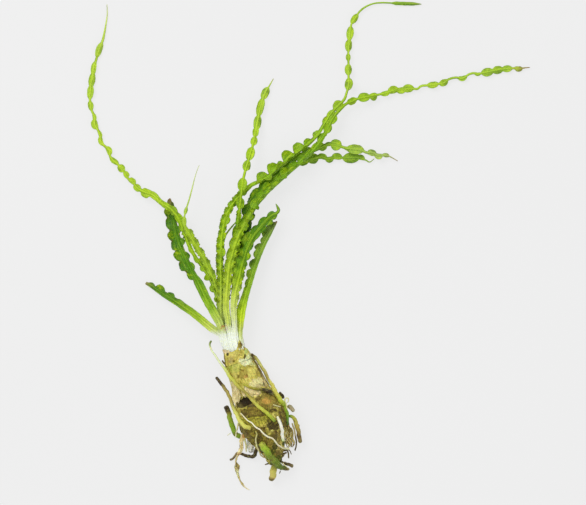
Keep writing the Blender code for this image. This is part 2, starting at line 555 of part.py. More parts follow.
leaf(
    "leaf_centre",
    [
        (227.4, 325.2, 13.4), (227.3, 320.5, 13.4), (226.7, 305.0, 13.0), (227.0, 285.0, 12.4),
        (229.0, 265.0, 12.0), (232.0, 250.0, 12.0), (235.2, 238.0, 12.2), (238.0, 225.0, 12.6),
        (239.2, 215.0, 13.2), (240.2, 205.0, 14.0), (241.3, 194.0, 15.0), (242.6, 184.0, 15.3),
        (244.6, 174.0, 14.6), (247.0, 165.0, 13.2), (250.6, 153.0, 10.8), (254.0, 141.0, 8.2),
        (256.8, 125.0, 5.4), (260.2, 107.0, 3.6), (264.8, 93.5, 2.7), (269.0, 86.0, 2.2),
        (273.6, 78.0, 1.6),
    ],
    blade=[
        (0.0, 1.8, 1.8, 2.3), (0.15, 1.6, 1.6, 2.0), (0.35, 1.8, 1.5, 1.9), (0.42, 1.2, 1.0, 1.7),
        (0.5, 0.8, 0.8, 1.4), (0.7, 0.8, 0.8, 1.2), (0.9, 0.9, 0.9, 1.1), (1.0, 0.2, 0.2, 0.3),
    ],
    stance=[(0.0, 90.0, 160.0), (1.0, 90.0, 168.0)],
    lobes=[
        (240.6, 203.5, 11, 4.0, 4.2), (242.6, 184.5, 13, 4.6, 4.6), (246.9, 165.4, 11, 4.0, 3.9),
        (250.4, 153.6, 14, 3.8, 3.9), (254.0, 141.4, 9, 3.2, 3.2), (255.6, 132.2, 8, 2.8, 2.9),
        (257.3, 122.0, 15, 3.4, 3.7), (260.4, 107.0, 18, 3.3, 3.5), (265.2, 92.8, 13, 3.6, 3.5),
    ],
    crisp=[(0.15, 0.36, 5.0, 1.0)],
)

# Leaves at the right
leaf(
    "leaf_hooked",
    [
        (235.2, 325.2, 17.2), (235.0, 320.5, 17.2), (234.2, 310.0, 17.0), (234.5, 300.0, 16.8),
        (236.0, 285.0, 16.4), (238.8, 270.0, 15.9), (242.4, 256.0, 15.3), (247.2, 245.5, 14.7),
        (253.0, 237.5, 14.1), (259.0, 230.5, 13.5), (264.2, 223.5, 13.0), (268.6, 217.5, 12.6),
        (272.8, 214.0, 12.3), (277.2, 213.2, 12.1), (279.4, 210.6, 12.0), (278.0, 207.2, 11.9),
        (276.2, 204.0, 11.8),
    ],
    blade=[
        (0.0, 2.0, 2.0, 2.6), (0.1, 2.3, 2.5, 2.6), (0.3, 2.2, 2.4, 2.5), (0.45, 2.4, 2.3, 2.4),
        (0.7, 2.4, 2.2, 2.0), (0.84, 1.6, 1.6, 1.6), (0.9, 0.9, 0.9, 1.2), (0.96, 1.0, 1.0, 0.9),
        (1.0, 0.2, 0.2, 0.3),
    ],
    stance=[(0.0, 90.0, 160.0), (1.0, 90.0, 155.0)],
    lobes=[
        (243.5, 253.8, 8, 0, 6.4), (248.6, 243.5, 8, 0, 5.2), (252.0, 238.5, 9, 5.6, 0),
        (255.0, 235.0, 9, 0, 5.2), (259.0, 230.5, 9, 6.0, 0), (262.5, 226.0, 9, 0, 5.0),
        (265.6, 221.6, 9, 5.8, 0), (269.6, 216.6, 8, 0, 4.6), (272.8, 214.0, 8, 3.8, 3.6),
    ],
    crisp=[(0.24, 0.56, 5.4, 1.2)],
)
leaf(
    "leaf_right_short",
    [
        (240.3, 325.2, 12.9), (240.5, 320.5, 12.8), (242.0, 310.0, 12.6), (244.4, 300.0, 12.4),
        (247.2, 290.0, 12.1), (250.3, 280.0, 11.8), (254.2, 268.0, 11.3), (258.6, 256.0, 10.6),
        (262.0, 248.5, 10.1), (265.8, 240.5, 9.5), (269.5, 234.0, 9.0), (273.2, 227.0, 8.6),
        (277.0, 221.0, 8.2),
    ],
    blade=[
        (0.0, 1.9, 1.9, 2.6), (0.12, 2.4, 2.2, 2.6), (0.3, 2.2, 1.9, 2.4), (0.6, 2.1, 1.7, 2.2),
        (0.85, 1.8, 1.3, 1.7), (0.96, 1.2, 0.9, 1.2), (1.0, 0.4, 0.4, 0.6),
    ],
    stance=[(0.0, 90.0, 160.0), (0.2, 110.0, 140.0), (1.0, 120.0, 130.0)],
    lobes=[
        (268.5, 235.5, 9, 6.0, 0), (264.5, 243.0, 8, 6.4, 0), (260.5, 251.5, 9, 6.6, 0),
    ],
    crisp=[(0.22, 0.62, 5.6, 1.2)],
    colour=LEAF_DARK,
)
leaf(
    "leaf_thread",
    [
        (229.2, 325.2, 6.2), (229.0, 320.5, 6.1), (226.0, 300.0, 5.6), (223.2, 280.0, 5.3),
        (221.6, 262.0, 5.3), (222.0, 248.0, 5.3), (224.4, 237.5, 5.4), (228.0, 231.4, 5.5),
        (232.4, 226.0, 5.6), (236.4, 221.6, 5.7), (240.5, 216.0, 5.9),
    ],
    blade=[(0.0, 1.2, 1.2, 1.5), (0.4, 1.1, 1.1, 1.3), (0.7, 0.7, 0.7, 0.9), (1.0, 0.3, 0.3, 0.4)],
)


def root(name, points, thick, thin, colour, sides=8):
    """A root: a tube along its route, with the radius in mm at its first point (thick) and its last
    point (thin)."""
    route = Route(points)
    pitch = ROOT_PITCH * max(thick, THINNEST_PITCH) * MM
    count = max(3, round(route.length / pitch) + 1)
    curve = bpy.data.curves.new(name, "CURVE")
    curve.dimensions = "3D"
    curve.bevel_depth = ROOT_UNIT
    curve.bevel_resolution = sides // 2 - 2
    curve.use_fill_caps = True
    spline = curve.splines.new("POLY")
    spline.points.add(count - 1)
    for i, point in enumerate(spline.points):
        share = i / (count - 1)
        point.co = (*route.at(share * route.length), 1.0)
        point.radius = thick + (thin - thick) * share
    return finish_with(bpy.data.objects.new(name, curve), colour)


def on_skin(pixels, radius, lift=0.0):
    """Route points of a root of this radius that lies on the bulb."""
    return [skin(across, down, radius + SKIN_GAP + lift) for across, down in pixels]


# Roots that cross the bulb
root(
    "root_across",
    on_skin([
        (275, 420), (268, 412), (260, 405.5), (252, 398.5), (246, 392.5), (239, 386), (233, 379.5),
        (228.5, 373.5),
    ], 1.0)
    + [
        (224.0, 367.0, 14.8), (219.4, 361.5, 13.4), (215.4, 355.5, 12.2), (211.5, 350.0, 11.0),
        (209.8, 344.5, 10.2), (211.6, 340.4, 9.8),
    ],
    1.0, 0.5, ROOT_GREEN,
)
root(
    "root_dark_branch",
    on_skin([
        (244, 384.8), (250, 386.6), (256, 388.2), (263, 389.0), (268, 391.0), (272.4, 394.6),
    ], 0.9),
    0.8, 0.9, ROOT_BROWN,
)
root(
    "root_left_dark",
    on_skin([(251.5, 428), (244, 424.6), (239.5, 419), (236.6, 413)], 1.2)
    + [
        (232.8, 406.0, 13.2), (231.0, 399.5, 12.6), (227.6, 393.0, 12.0), (223.4, 386.0, 11.0),
        (219.0, 381.0, 10.2), (215.8, 376.8, 9.4),
    ],
    1.2, 0.9, ROOT_GREEN,
)
root(
    "root_fat_left",
    [
        (241.6, 436.4, 4.4), (237.8, 435.4, 4.2), (234.2, 432.0, 4.0), (231.0, 426.0, 3.9),
        (228.8, 419.0, 3.9), (227.0, 412.0, 4.2), (225.2, 405.2, 4.8),
    ],
    1.8, 1.6, ROOT_GREEN,
)
root(
    "root_cream_long",
    [(290.0, 450.0, 8.6), (286.0, 448.6, 10.0)]
    + on_skin([
        (282, 447.2), (278, 444.3), (275, 440.5), (272, 437.2), (268, 435.6), (263, 432), (260, 428.6),
        (256, 426), (252, 422), (247.5, 419.4), (244, 415.6), (240.5, 412),
    ], 0.45, 0.1),
    0.45, 0.4, ROOT_CREAM, 6,
)
root(
    "root_cream_short",
    on_skin([
        (255.6, 429.8), (257, 433.5), (256, 439), (257, 445), (259, 450), (261, 455), (265, 457.6),
    ], 0.45),
    0.45, 0.45, ROOT_CREAM, 6,
)
root(
    "root_green_low",
    on_skin([(261, 440.5), (265, 446), (268.5, 452.5), (272.5, 458.5), (277, 464)], 1.7, 0.6)
    + [(283.0, 468.2, 8.6), (290.0, 469.2, 7.4)],
    1.7, 1.5, ROOT_GREEN,
)
root(
    "root_stub_bottom",
    [(273.6, 470.0, 7.6), (272.6, 475.5, 6.4), (271.0, 481.4, 5.0)],
    1.7, 1.5, ROOT_CREAM,
)
root(
    "root_stub_dark",
    [(284.0, 462.6, 6.4), (288.6, 464.8, 5.6), (293.6, 466.4, 5.0)],
    1.0, 0.9, ROOT_BROWN,
)

# Roots down the right of the bulb
root(
    "root_right_long",
    on_skin([
        (250.6, 352.6), (256.4, 358.4), (260.8, 364.6), (264.8, 371.5), (268.8, 379), (272.8, 386.4),
        (276.8, 393), (281.2, 399),
    ], 1.1)
    + [(284.6, 404.6, 14.0), (286.6, 411.0, 13.6), (287.4, 418.0, 12.8), (287.4, 424.0, 11.8)],
    1.0, 1.2, ROOT_GREEN,
)
root(
    "root_right_thin",
    on_skin([(251.8, 359.4), (255.4, 365.5), (259.2, 372), (263.2, 379), (266.4, 385.5)], 0.6),
    0.6, 0.6, ROOT_CREAM, 6,
)
root(
    "root_right_dark",
    [(281.4, 391.6, 9.0), (284.0, 395.4, 8.8), (286.6, 399.8, 8.4)],
    0.8, 0.9, ROOT_BROWN, 6,
)
root(
    "root_stub_right",
    [(291.2, 407.2, 10.6), (293.4, 409.6, 10.0), (295.4, 412.2, 9.4)],
    1.4, 1.3, ROOT_BROWN,
)
root(
    "root_right_arch",
    [
        (292.0, 416.4, 8.8), (295.2, 420.4, 8.4), (297.8, 425.6, 8.0), (299.6, 432.0, 7.4),
        (300.6, 438.6, 6.8), (300.9, 443.8, 6.2),
    ],
    1.0, 1.1, ROOT_GREEN,
)
root(
    "root_right_thread",
    [
        (291.8, 423.0, 7.0), (294.6, 430.0, 6.6), (296.0, 437.0, 6.2), (296.8, 444.0, 5.8),
        (295.0, 451.2, 5.2),
    ],
    0.5, 0.45, ROOT_CREAM, 6,
)
root(
    "root_white",
    on_skin([(277, 414), (280, 420), (281.6, 427), (282.4, 434), (282.6, 441.5)], 1.1, 0.6),
    1.0, 1.1, ROOT_CREAM,
)
root(
    "root_tan_inner",
    [(287.6, 428.6, 7.4), (288.6, 435.0, 7.2), (289.6, 441.6, 6.8), (288.8, 447.4, 6.2)],
    0.9, 0.8, ROOT_CREAM,
)
root(
    "root_tan_outer",
    [(291.2, 428.4, 5.0), (292.4, 434.4, 4.8), (293.2, 440.4, 4.6), (293.4, 446.4, 4.2)],
    0.8, 0.7, ROOT_CREAM,
)
root(
    "root_low_left",
    [
        (258.0, 454.4, 3.4), (255.6, 456.8, 3.0), (252.0, 458.0, 2.6), (246.6, 456.6, 2.2),
        (241.4, 454.2, 1.8), (237.4, 454.0, 1.5), (234.6, 457.0, 1.3), (232.4, 459.0, 1.2),
        (229.8, 460.6, 1.1),
    ],
    1.1, 0.6, ROOT_BROWN,
)

# Loose skins of the bulb
leaf(
    "skin_shred",
    [
        (242.4, 434.6, 9.0), (240.8, 440.6, 7.6), (240.0, 448.0, 6.2), (237.8, 454.6, 4.9),
        (235.6, 460.4, 3.6), (237.0, 466.0, 2.7), (238.0, 472.0, 2.1), (239.6, 478.0, 1.6),
        (242.4, 483.6, 1.3), (246.0, 487.6, 1.0), (250.4, 490.6, 0.7),
    ],
    blade=[
        (0.0, 1.4, 1.4, 0.9), (0.3, 1.5, 1.5, 0.9), (0.42, 1.1, 1.1, 0.9), (0.55, 1.6, 1.6, 1.2),
        (0.66, 0.8, 0.8, 1.0), (0.85, 0.6, 0.6, 0.8), (1.0, 0.2, 0.2, 0.3),
    ],
    colour=SKIN_TAN,
    straight=False,
)
leaf(
    "skin_flap",
    [(249.0, 441.6, 3.2), (249.8, 446.0, 3.0), (250.6, 450.4, 2.7), (251.2, 454.0, 2.4)],
    blade=[(0.0, 1.6, 1.6, 0.7), (0.5, 2.0, 2.0, 0.7), (1.0, 1.2, 1.2, 0.5)],
    colour=NECK_WHITE,
    straight=False,
    blunt=True,
)
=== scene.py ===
import itertools
import math

import bmesh
import bpy
import numpy as np
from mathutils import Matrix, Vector, noise


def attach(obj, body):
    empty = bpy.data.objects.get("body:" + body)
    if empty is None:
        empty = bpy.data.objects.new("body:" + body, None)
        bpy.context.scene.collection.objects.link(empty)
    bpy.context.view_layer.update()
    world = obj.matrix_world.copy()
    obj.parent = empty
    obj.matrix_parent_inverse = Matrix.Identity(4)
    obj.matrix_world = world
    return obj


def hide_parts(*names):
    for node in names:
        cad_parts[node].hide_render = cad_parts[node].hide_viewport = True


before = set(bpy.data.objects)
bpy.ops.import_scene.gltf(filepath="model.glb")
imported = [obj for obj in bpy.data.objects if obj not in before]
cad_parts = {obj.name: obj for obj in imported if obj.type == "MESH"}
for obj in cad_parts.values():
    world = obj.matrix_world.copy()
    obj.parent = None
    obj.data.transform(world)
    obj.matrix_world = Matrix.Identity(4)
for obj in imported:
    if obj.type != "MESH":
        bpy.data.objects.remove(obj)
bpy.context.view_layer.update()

# The view and the stage
# The plant lies on a plain pale floor and is seen from straight above, from far enough away that its
# raised parts stay where they are in the picture. Two soft lamps and a pale sky light it.

MM = 0.001
PICTURE_WIDTH, PICTURE_HEIGHT = 586, 505  # pixels of the photograph
PIXEL = 0.6 * MM  # size on the plant of one of its pixels
MIDDLE_ACROSS = 308.8  # the pixel column at X = 0
MIDDLE_DOWN = 245.9  # the pixel row at Y = 0


def spot(across, down, height=0.0):
    """The point of a pixel of the photograph, at a height in millimetres over the floor."""
    place = [(across - MIDDLE_ACROSS) * PIXEL, (MIDDLE_DOWN - down) * PIXEL, height * MM]
    return np.stack(np.broadcast_arrays(*place), axis=-1)


CAMERA_DISTANCE = 3.0
IN_SCALE_AT = 8.0  # millimetres over the floor where the picture is exactly to scale
SENSOR = 36.0
eye = bpy.data.cameras.new("eye")
eye.sensor_width = SENSOR
eye.lens = SENSOR * CAMERA_DISTANCE / (PICTURE_WIDTH * PIXEL)
camera = bpy.data.objects.new("camera", eye)
camera.location = spot(PICTURE_WIDTH / 2, PICTURE_HEIGHT / 2, IN_SCALE_AT) + (0.0, 0.0, CAMERA_DISTANCE)
bpy.context.scene.collection.objects.link(camera)
bpy.context.scene.camera = camera


class Value:
    """A socket of a material. Plain maths on it adds the nodes that work it out."""

    def __init__(self, paint, socket):
        self.paint = paint
        self.socket = socket

    def __add__(self, other):
        return self.paint.maths("ADD", self, other)

    def __sub__(self, other):
        return self.paint.maths("SUBTRACT", self, other)

    def __rsub__(self, other):
        return self.paint.maths("SUBTRACT", other, self)

    def __mul__(self, other):
        return self.paint.maths("MULTIPLY", self, other)

    __radd__ = __add__
    __rmul__ = __mul__


def tone(red, green, blue):
    """The colour of an sRGB value from 0 to 255 in the linear numbers that sockets hold."""
    channels = [c / 255 for c in (red, green, blue)]
    linear = [c / 12.92 if c <= 0.04045 else ((c + 0.055) / 1.055) ** 2.4 for c in channels]
    return (*linear, 1.0)


class Paint:
    """A material with its node tree. It starts with one Principled shader."""

    def __init__(self, name, constants):
        self.material = bpy.data.materials.new(name)
        self.material.use_nodes = True
        self.tree = self.material.node_tree
        self.shader = self.tree.nodes["Principled BSDF"]
        for key, value in constants.items():
            self.shader.inputs[key].default_value = value

    def node(self, kind, settings=None, links=None, out=0):
        node = self.tree.nodes.new(kind)
        for key, value in (settings or {}).items():
            if key == "stops":
                stops = node.color_ramp.elements
                while len(stops) < len(value):
                    stops.new(0.5)
                for stop, (place, colour) in zip(stops, value):
                    stop.position = place
                    stop.color = tone(*colour)
            else:
                setattr(node, key, value)
        for key, value in (links or {}).items():
            if isinstance(value, Value):
                self.tree.links.new(value.socket, node.inputs[key])
            else:
                node.inputs[key].default_value = value
        return Value(self, node.outputs[out])

    def maths(self, operation, *values):
        return self.node("ShaderNodeMath", {"operation": operation}, dict(enumerate(values)))

    def mix(self, factor, first, second):
        return self.node("ShaderNodeMix", {"data_type": "RGBA"}, {0: factor, 6: first, 7: second}, 2)

    def shaded(self, colour, amount):
        return self.node("ShaderNodeVectorMath", {"operation": "SCALE"}, {0: colour, "Scale": amount})

    def fade(self, value, start, end):
        """0 before start, 1 past end, and a smooth step between. Start may be the larger."""
        limits = {"Value": value, "From Min": start, "From Max": end}
        return self.node("ShaderNodeMapRange", {"interpolation_type": "SMOOTHSTEP"}, limits)

    def ramp(self, value, stops):
        return self.node("ShaderNodeValToRGB", {"stops": stops}, {"Fac": value})

    def noise(self, scale, detail, where, distortion=0.0):
        links = {"Scale": scale, "Detail": detail, "Distortion": distortion, "Vector": where}
        return self.node("ShaderNodeTexNoise", {}, links)

    def object_place(self):
        return self.node("ShaderNodeTexCoord", out="Object")

    def point(self, *values):
        return self.node("ShaderNodeCombineXYZ", {}, dict(enumerate(values)))

    def axes(self, vector):
        return [self.node("ShaderNodeSeparateXYZ", {}, {0: vector}, axis) for axis in range(3)]

    def attribute(self, name):
        """The three numbers that a piece's mesh holds under this name at each point."""
        return self.axes(self.node("ShaderNodeAttribute", {"attribute_name": name}, out="Vector"))

    def finish(self, sockets):
        for key, value in sockets.items():
            self.tree.links.new(value.socket, self.shader.inputs[key])
        return self.material

    def surface(self, colour, rough, relief, depth, strength):
        """The finished material of a grown surface, with its fine relief as a bump."""
        links = {"Height": relief, "Distance": depth, "Strength": strength}
        bump = self.node("ShaderNodeBump", {}, links)
        return self.finish({"Base Color": colour, "Roughness": rough, "Normal": bump})


FLOOR_SIZE = 6.0
FLOOR_BELOW = 0.05 * MM  # how far the floor lies under the plant
FLOOR_GLOW = 0.84  # what the floor gives of its own, which keeps the shadows faint
FLOOR_SHADE = 0.12  # how much of the lamps' light it gives back
SKY_LIGHT = 0.62
bpy.context.scene.view_settings.view_transform = "Standard"

mesh = bmesh.new()
bmesh.ops.create_grid(mesh, x_segments=1, y_segments=1, size=FLOOR_SIZE / 2)
floor_mesh = bpy.data.meshes.new("floor")
mesh.to_mesh(floor_mesh)
mesh.free()
floor = bpy.data.objects.new("floor", floor_mesh)
floor.location.z = -FLOOR_BELOW
bpy.context.scene.collection.objects.link(floor)
PAPER = {"Roughness": 1.0, "Specular IOR Level": 0.0, "Emission Strength": FLOOR_GLOW}
paint = Paint("pale_paper", PAPER)
cloud = paint.noise(3.0, 2.0, paint.object_place())
paper = paint.mix(cloud, tone(240, 240, 240), tone(242, 242, 242))
shade = paint.shaded(paper, FLOOR_SHADE)
floor_mesh.materials.append(paint.finish({"Base Color": shade, "Emission Color": paper}))

sky = bpy.data.worlds.new("sky")
sky.use_nodes = True
sky.node_tree.nodes["Background"].inputs["Color"].default_value = (1.0, 1.0, 1.0, 1.0)
sky.node_tree.nodes["Background"].inputs["Strength"].default_value = SKY_LIGHT
bpy.context.scene.world = sky


def lamp(name, place, size, power):
    """A soft square lamp that looks at the middle of the plant."""
    light = bpy.data.lights.new(name, "AREA")
    light.size = size
    light.energy = power
    obj = bpy.data.objects.new(name, light)
    obj.location = place
    obj.rotation_euler = (-Vector(place)).to_track_quat("-Z", "Y").to_euler()
    obj.visible_camera = False
    bpy.context.scene.collection.objects.link(obj)


lamp("key_lamp", (-0.7, 0.8, 1.5), 1.0, 21.0)
lamp("fill_lamp", (1.2, -0.6, 1.2), 1.2, 4.0)


# The leaves
# A leaf is one long strap with a thick midrib and a thin blade, crisped along both margins, that breaks up
# into rounded beads towards the tip. Its pale base is one of the sheaths that make the neck.


def spline(a, b, c, d, t):
    """The point at the share t of the way from b to c, on a smooth curve through four points."""
    cubic = (3 * b - a - 3 * c + d) * t**3 + (2 * a - 5 * b + 4 * c - d) * t**2
    return 0.5 * (2 * b + (c - a) * t + cubic)


class Route:
    """A smooth curve through points of the photograph, read by the distance along it."""

    PER_SPAN = 14
    REACH = 0.8 * MM  # how far to both sides of a place its direction is taken

    def __init__(self, points):
        knots = [spot(*point) for point in points]
        knots = [2 * knots[0] - knots[1]] + knots + [2 * knots[-1] - knots[-2]]
        t = np.linspace(0.0, 1.0, self.PER_SPAN, endpoint=False)[:, None]
        spans = [spline(*four, t) for four in zip(knots, knots[1:], knots[2:], knots[3:])]
        self.path = np.concatenate(spans + [knots[-2][None]])
        steps = np.linalg.norm(np.diff(self.path, axis=0), axis=1)
        self.marks = np.concatenate([[0.0], np.cumsum(steps)])
        self.length = float(self.marks[-1])

    def at(self, s):
        return np.stack([np.interp(s, self.marks, self.path[:, k]) for k in range(3)], axis=-1)

    def frames(self, s):
        """Points along the route, with the directions across it and up from it."""
        ahead, behind = np.minimum(s + self.REACH, self.length), np.maximum(s - self.REACH, 0.0)
        along = self.at(ahead) - self.at(behind)
        along /= np.linalg.norm(along, axis=1)[:, None]
        across = np.cross(along, (0.0, 0.0, 1.0))
        across /= np.linalg.norm(across, axis=1)[:, None]
        return self.at(s), across, np.cross(across, along)

    def nearest(self, across, down):
        target = spot(across, down)
        apart = np.hypot(self.path[:, 0] - target[0], self.path[:, 1] - target[1])
        return float(self.marks[int(np.argmin(apart))])


def table(rows, share):
    """The columns of a table of (share of the length, values...), read at many shares."""
    columns = list(zip(*rows))
    return [np.interp(share, columns[0], column) for column in columns[1:]]


def wander(seed, s, length):
    """A smooth random line from -1 to 1, which changes over the given length."""
    return np.array([noise.noise(Vector((value / length, seed, 0.37 * seed))) for value in s]) * 1.6


def loft(name, rings, layers, merge=0.004 * MM):
    """A closed body through rings of points: a grid is wrapped round them and its seam is merged. An end
    ring whose points coincide closes to a point, and other ends are filled. Each layer holds three
    numbers for each point, which a material reads by the layer's name."""
    rows, sides = rings.shape[:2]
    shell = bmesh.new()
    bmesh.ops.create_grid(shell, x_segments=sides, y_segments=rows - 1, size=1.0)
    kept = {key: shell.verts.layers.float_vector.new(key) for key in layers}
    for vert in shell.verts:
        column = round((vert.co.x + 1.0) / 2.0 * sides) % sides
        row = round((vert.co.y + 1.0) / 2.0 * (rows - 1))
        vert.co = rings[row, column]
        for key, layer in kept.items():
            vert[layer] = layers[key][row, column]
    bmesh.ops.remove_doubles(shell, verts=shell.verts, dist=merge)
    bmesh.ops.holes_fill(shell, edges=shell.edges, sides=0)
    bmesh.ops.recalc_face_normals(shell, faces=shell.faces)
    data = bpy.data.meshes.new(name)
    shell.to_mesh(data)
    shell.free()
    data.shade_smooth()
    piece = bpy.data.objects.new(name, data)
    bpy.context.scene.collection.objects.link(piece)
    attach(piece, "root")
    return piece


# How the lobes of a margin stand, in degrees. A bead is a smooth cup that twists and curls, and it shrinks
# to the midrib at both ends. A crisped lobe swings up or down, and the next one swings back. Luck is how
# much one differs from the others.
BEAD, CRISP = "bead", "crisp"
BEAD_TWIST, BEAD_TWIST_LUCK = 14.0, 16.0
BEAD_CURL, BEAD_DROOP, BEAD_CURL_LUCK = 40.0, 18.0, 36.0
CRISP_SWING, CRISP_CURL, CRISP_CURL_LUCK = 56.0, 24.0, 24.0
PLAIN_SWELL = 0.8  # how much of a lobe a margin without lobes counts as


def wing(s, base, side, lobes, seed):
    """One side of the blade along the leaf: how far it reaches as seen from above, its tilt and its curl
    in degrees, how much of a lobe it is, and how pleated."""
    reach = base.copy()
    weight, tilt, curl, swell, pleated, near = np.zeros((6, len(s)))
    for i, (middle, half, size, kind) in enumerate(lobes):
        x = (s - middle) / half
        inside = np.clip(1.0 - np.abs(x) ** 2.2, 0.0, 1.0)
        part = np.clip(1.15 - np.abs(x), 0.0, 1.0)
        luck = noise.noise(Vector((i * 1.7, seed, side)))
        turn = -1.0 if i % 2 else 1.0
        if kind == BEAD:
            reach = np.maximum(reach, base + (size - base) * inside**0.72)
            tilt += part * (turn * BEAD_TWIST * np.sin(x * math.pi / 2) + BEAD_TWIST_LUCK * luck)
            curl += part * (turn * BEAD_CURL - BEAD_DROOP + BEAD_CURL_LUCK * luck) * inside
        else:
            reach = np.maximum(reach, base + (size - base) * (0.45 + 0.55 * inside**0.8) * (part > 0))
            tilt += part * turn * CRISP_SWING * np.cos(np.clip(x, -1.0, 1.0) * math.pi / 2)
            curl += part * (turn * CRISP_CURL + CRISP_CURL_LUCK * luck)
            pleated = np.maximum(pleated, np.clip(2.0 * part, 0.0, 1.0))
        weight += part
        swell = np.maximum(swell, inside)
        near = np.maximum(near, np.clip(2.4 - np.abs(x), 0.0, 1.0))
    weight = np.maximum(weight, 0.6)
    swell = np.maximum(swell, PLAIN_SWELL * (1.0 - near))
    return reach, tilt / weight, curl / weight, swell, pleated


def margin(route, s, lead, base, side, lobes, crisp):
    """The lobes of one margin as (middle, half length, reach, kind): the beads of the list, and crisped
    lobes between them where a row of crisp (from, to, pitch, height, side if only one) says so."""
    length = route.length - lead
    found = []
    for middle_across, middle_down, long, size_left, size_right in lobes:
        size = size_right if side == 1 else size_left
        if size:
            middle = route.nearest(middle_across, middle_down)
            found.append((middle, long * PIXEL / 2, size * PIXEL, BEAD))
    for first, final, pitch, height, *only in crisp:
        if only and side not in only:
            continue
        start, stop = lead + first * length, lead + final * length
        steps = round((stop - start) / (pitch * MM))
        for k in range(steps):
            middle = start + (stop - start) * (k + (0.5 if side == 1 else 1.0)) / steps
            if all(abs(middle - other[0]) > other[1] for other in found):
                size = float(np.interp(middle, s, base)) + height * MM
                found.append((middle, 0.52 * (stop - start) / steps, size, CRISP))
    return sorted(found)


LEAF_STEP = 0.36 * MM  # from one cross-section to the next
RIB_SHARE = 0.40  # the columns from the middle to here make the midrib
COLUMNS = np.array([0.0, 0.14, 0.28, 0.40, 0.48, 0.57, 0.66, 0.75, 0.84, 0.93, 1.0])
BLADE_HALF = 0.15 * MM  # half the thickness of the blade beside the midrib
PLEAT_PITCH = 2.1 * MM
PLEAT_HEIGHT = 0.24 * MM


def half_section(side, seed, s, base, rib, thick, roll, opening, lobes):
    """One half of each cross-section, column by column from the midrib's middle to the margin, as two
    tables of points of its upper and lower face: across, up, column, distance from the middle, how much
    of a lobe it is, and how far it is lifted."""
    reach, tilt, curl, swell, pleated = wing(s, base, side, lobes, seed)
    reach = np.maximum(reach * (1.0 + 0.05 * wander(seed + side, s, 2.2 * MM)), rib * 1.12)
    tilt = np.radians(tilt + 7.0 * wander(seed + 3.0 * side, s, 6.0 * MM))
    curl = np.radians(curl)
    pleat = np.sin(s * 2 * math.pi / PLEAT_PITCH + side + 2.5 * wander(seed, s, 5 * MM))
    pleat *= 0.2 + 0.8 * pleated
    rib_angle = roll - side * math.pi / 2
    blade_angle = roll - side * opening / 2
    out_share = np.clip((COLUMNS - RIB_SHARE) / (1.0 - RIB_SHARE), 0.0, 1.0)
    strip = np.diff(out_share, prepend=0.0)
    bend = np.minimum(1.0, (out_share - 0.5 * strip) / 0.3)
    angles = rib_angle[:, None] + (blade_angle - rib_angle)[:, None] * bend
    angles += side * (tilt[:, None] * bend + curl[:, None] * out_share)
    flatness = np.abs((np.cos(angles) * strip).sum(axis=1))
    reach = rib + (reach - rib) / np.clip(flatness, 0.5, 1.0)
    x, y, half_up, half_down, away = np.zeros((5, len(s), len(COLUMNS)))
    normal = np.repeat(roll[:, None], len(COLUMNS), axis=1)
    for k, (q, w) in enumerate(zip(COLUMNS, out_share)):
        if w == 0.0:
            turn = q / RIB_SHARE * math.pi / 2
            out = rib * math.sin(turn)
            x[:, k] = out * np.cos(rib_angle)
            y[:, k] = out * np.sin(rib_angle)
            half_up[:, k] = 0.42 * thick * math.cos(turn) + BLADE_HALF
            half_down[:, k] = 0.50 * thick * math.cos(turn) + BLADE_HALF
            away[:, k] = out
        else:
            step = (reach - rib) * strip[k]
            x[:, k] = x[:, k - 1] + step * np.cos(angles[:, k])
            y[:, k] = y[:, k - 1] + step * np.sin(angles[:, k])
            normal[:, k] = angles[:, k] + side * math.pi / 2
            thin = BLADE_HALF * (1.0 - 0.6 * w) if w < 1.0 else 0.0
            half_up[:, k] = half_down[:, k] = thin
            away[:, k] = away[:, k - 1] + step
    raised = PLEAT_HEIGHT * pleat[:, None] * out_share**1.5
    x += raised * np.cos(normal)
    y += raised * np.sin(normal)
    lift = ((tilt + 0.6 * curl) / math.radians(60.0))[:, None] + 0.7 * pleat[:, None] * out_share
    shared = np.broadcast_arrays(COLUMNS, away * side, swell[:, None], lift)
    upper = np.stack([x + half_up * np.cos(normal), y + half_up * np.sin(normal), *shared], axis=-1)
    lower = np.stack([x - half_down * np.cos(normal), y - half_down * np.sin(normal), *shared], axis=-1)
    return upper, lower


def leaf_rings(route, lead, blade, stance, lobes, crisp, seed, blunt):
    """Rings round a leaf, with the numbers that its material reads. Lead is the length of its sheath."""
    s = np.linspace(0.0, route.length, int(route.length / LEAF_STEP) + 1)
    share = (s - lead) / (route.length - lead)
    left, right, thick = (column * MM for column in table(blade, share))
    roll, opening = (np.radians(column) for column in table(stance, share))
    narrow = np.minimum(left, right)
    rib = np.minimum(0.8 * narrow, 0.35 * MM + 0.22 * narrow)
    halves = []
    for side, base in ((1, right), (-1, left)):
        mine = margin(route, s, lead, base, side, lobes, crisp)
        halves.append(half_section(side, seed, s, base, rib, thick, roll, opening, mine))
    (upper_right, lower_right), (upper_left, lower_left) = halves
    parts = [upper_right[:, ::-1], upper_left[:, 1:], lower_left[:, -2::-1], lower_right[:, 1:-1]]
    x, y, rim, away, swell, lift = np.moveaxis(np.concatenate(parts, axis=1), -1, 0)
    centre, across, up = route.frames(s)
    rings = centre[:, None] + x[..., None] * across[:, None] + y[..., None] * up[:, None]
    if not blunt:
        rings[-1] = centre[-1]
    shares, lengths, _ = np.broadcast_arrays(np.clip(share, 0.0, 1.0)[:, None], s[:, None], x)
    layers = {
        "growth": np.stack([shares, rim, swell], axis=-1),
        "weave": np.stack([lengths / MM, away / MM, lift], axis=-1),
    }
    return rings, layers


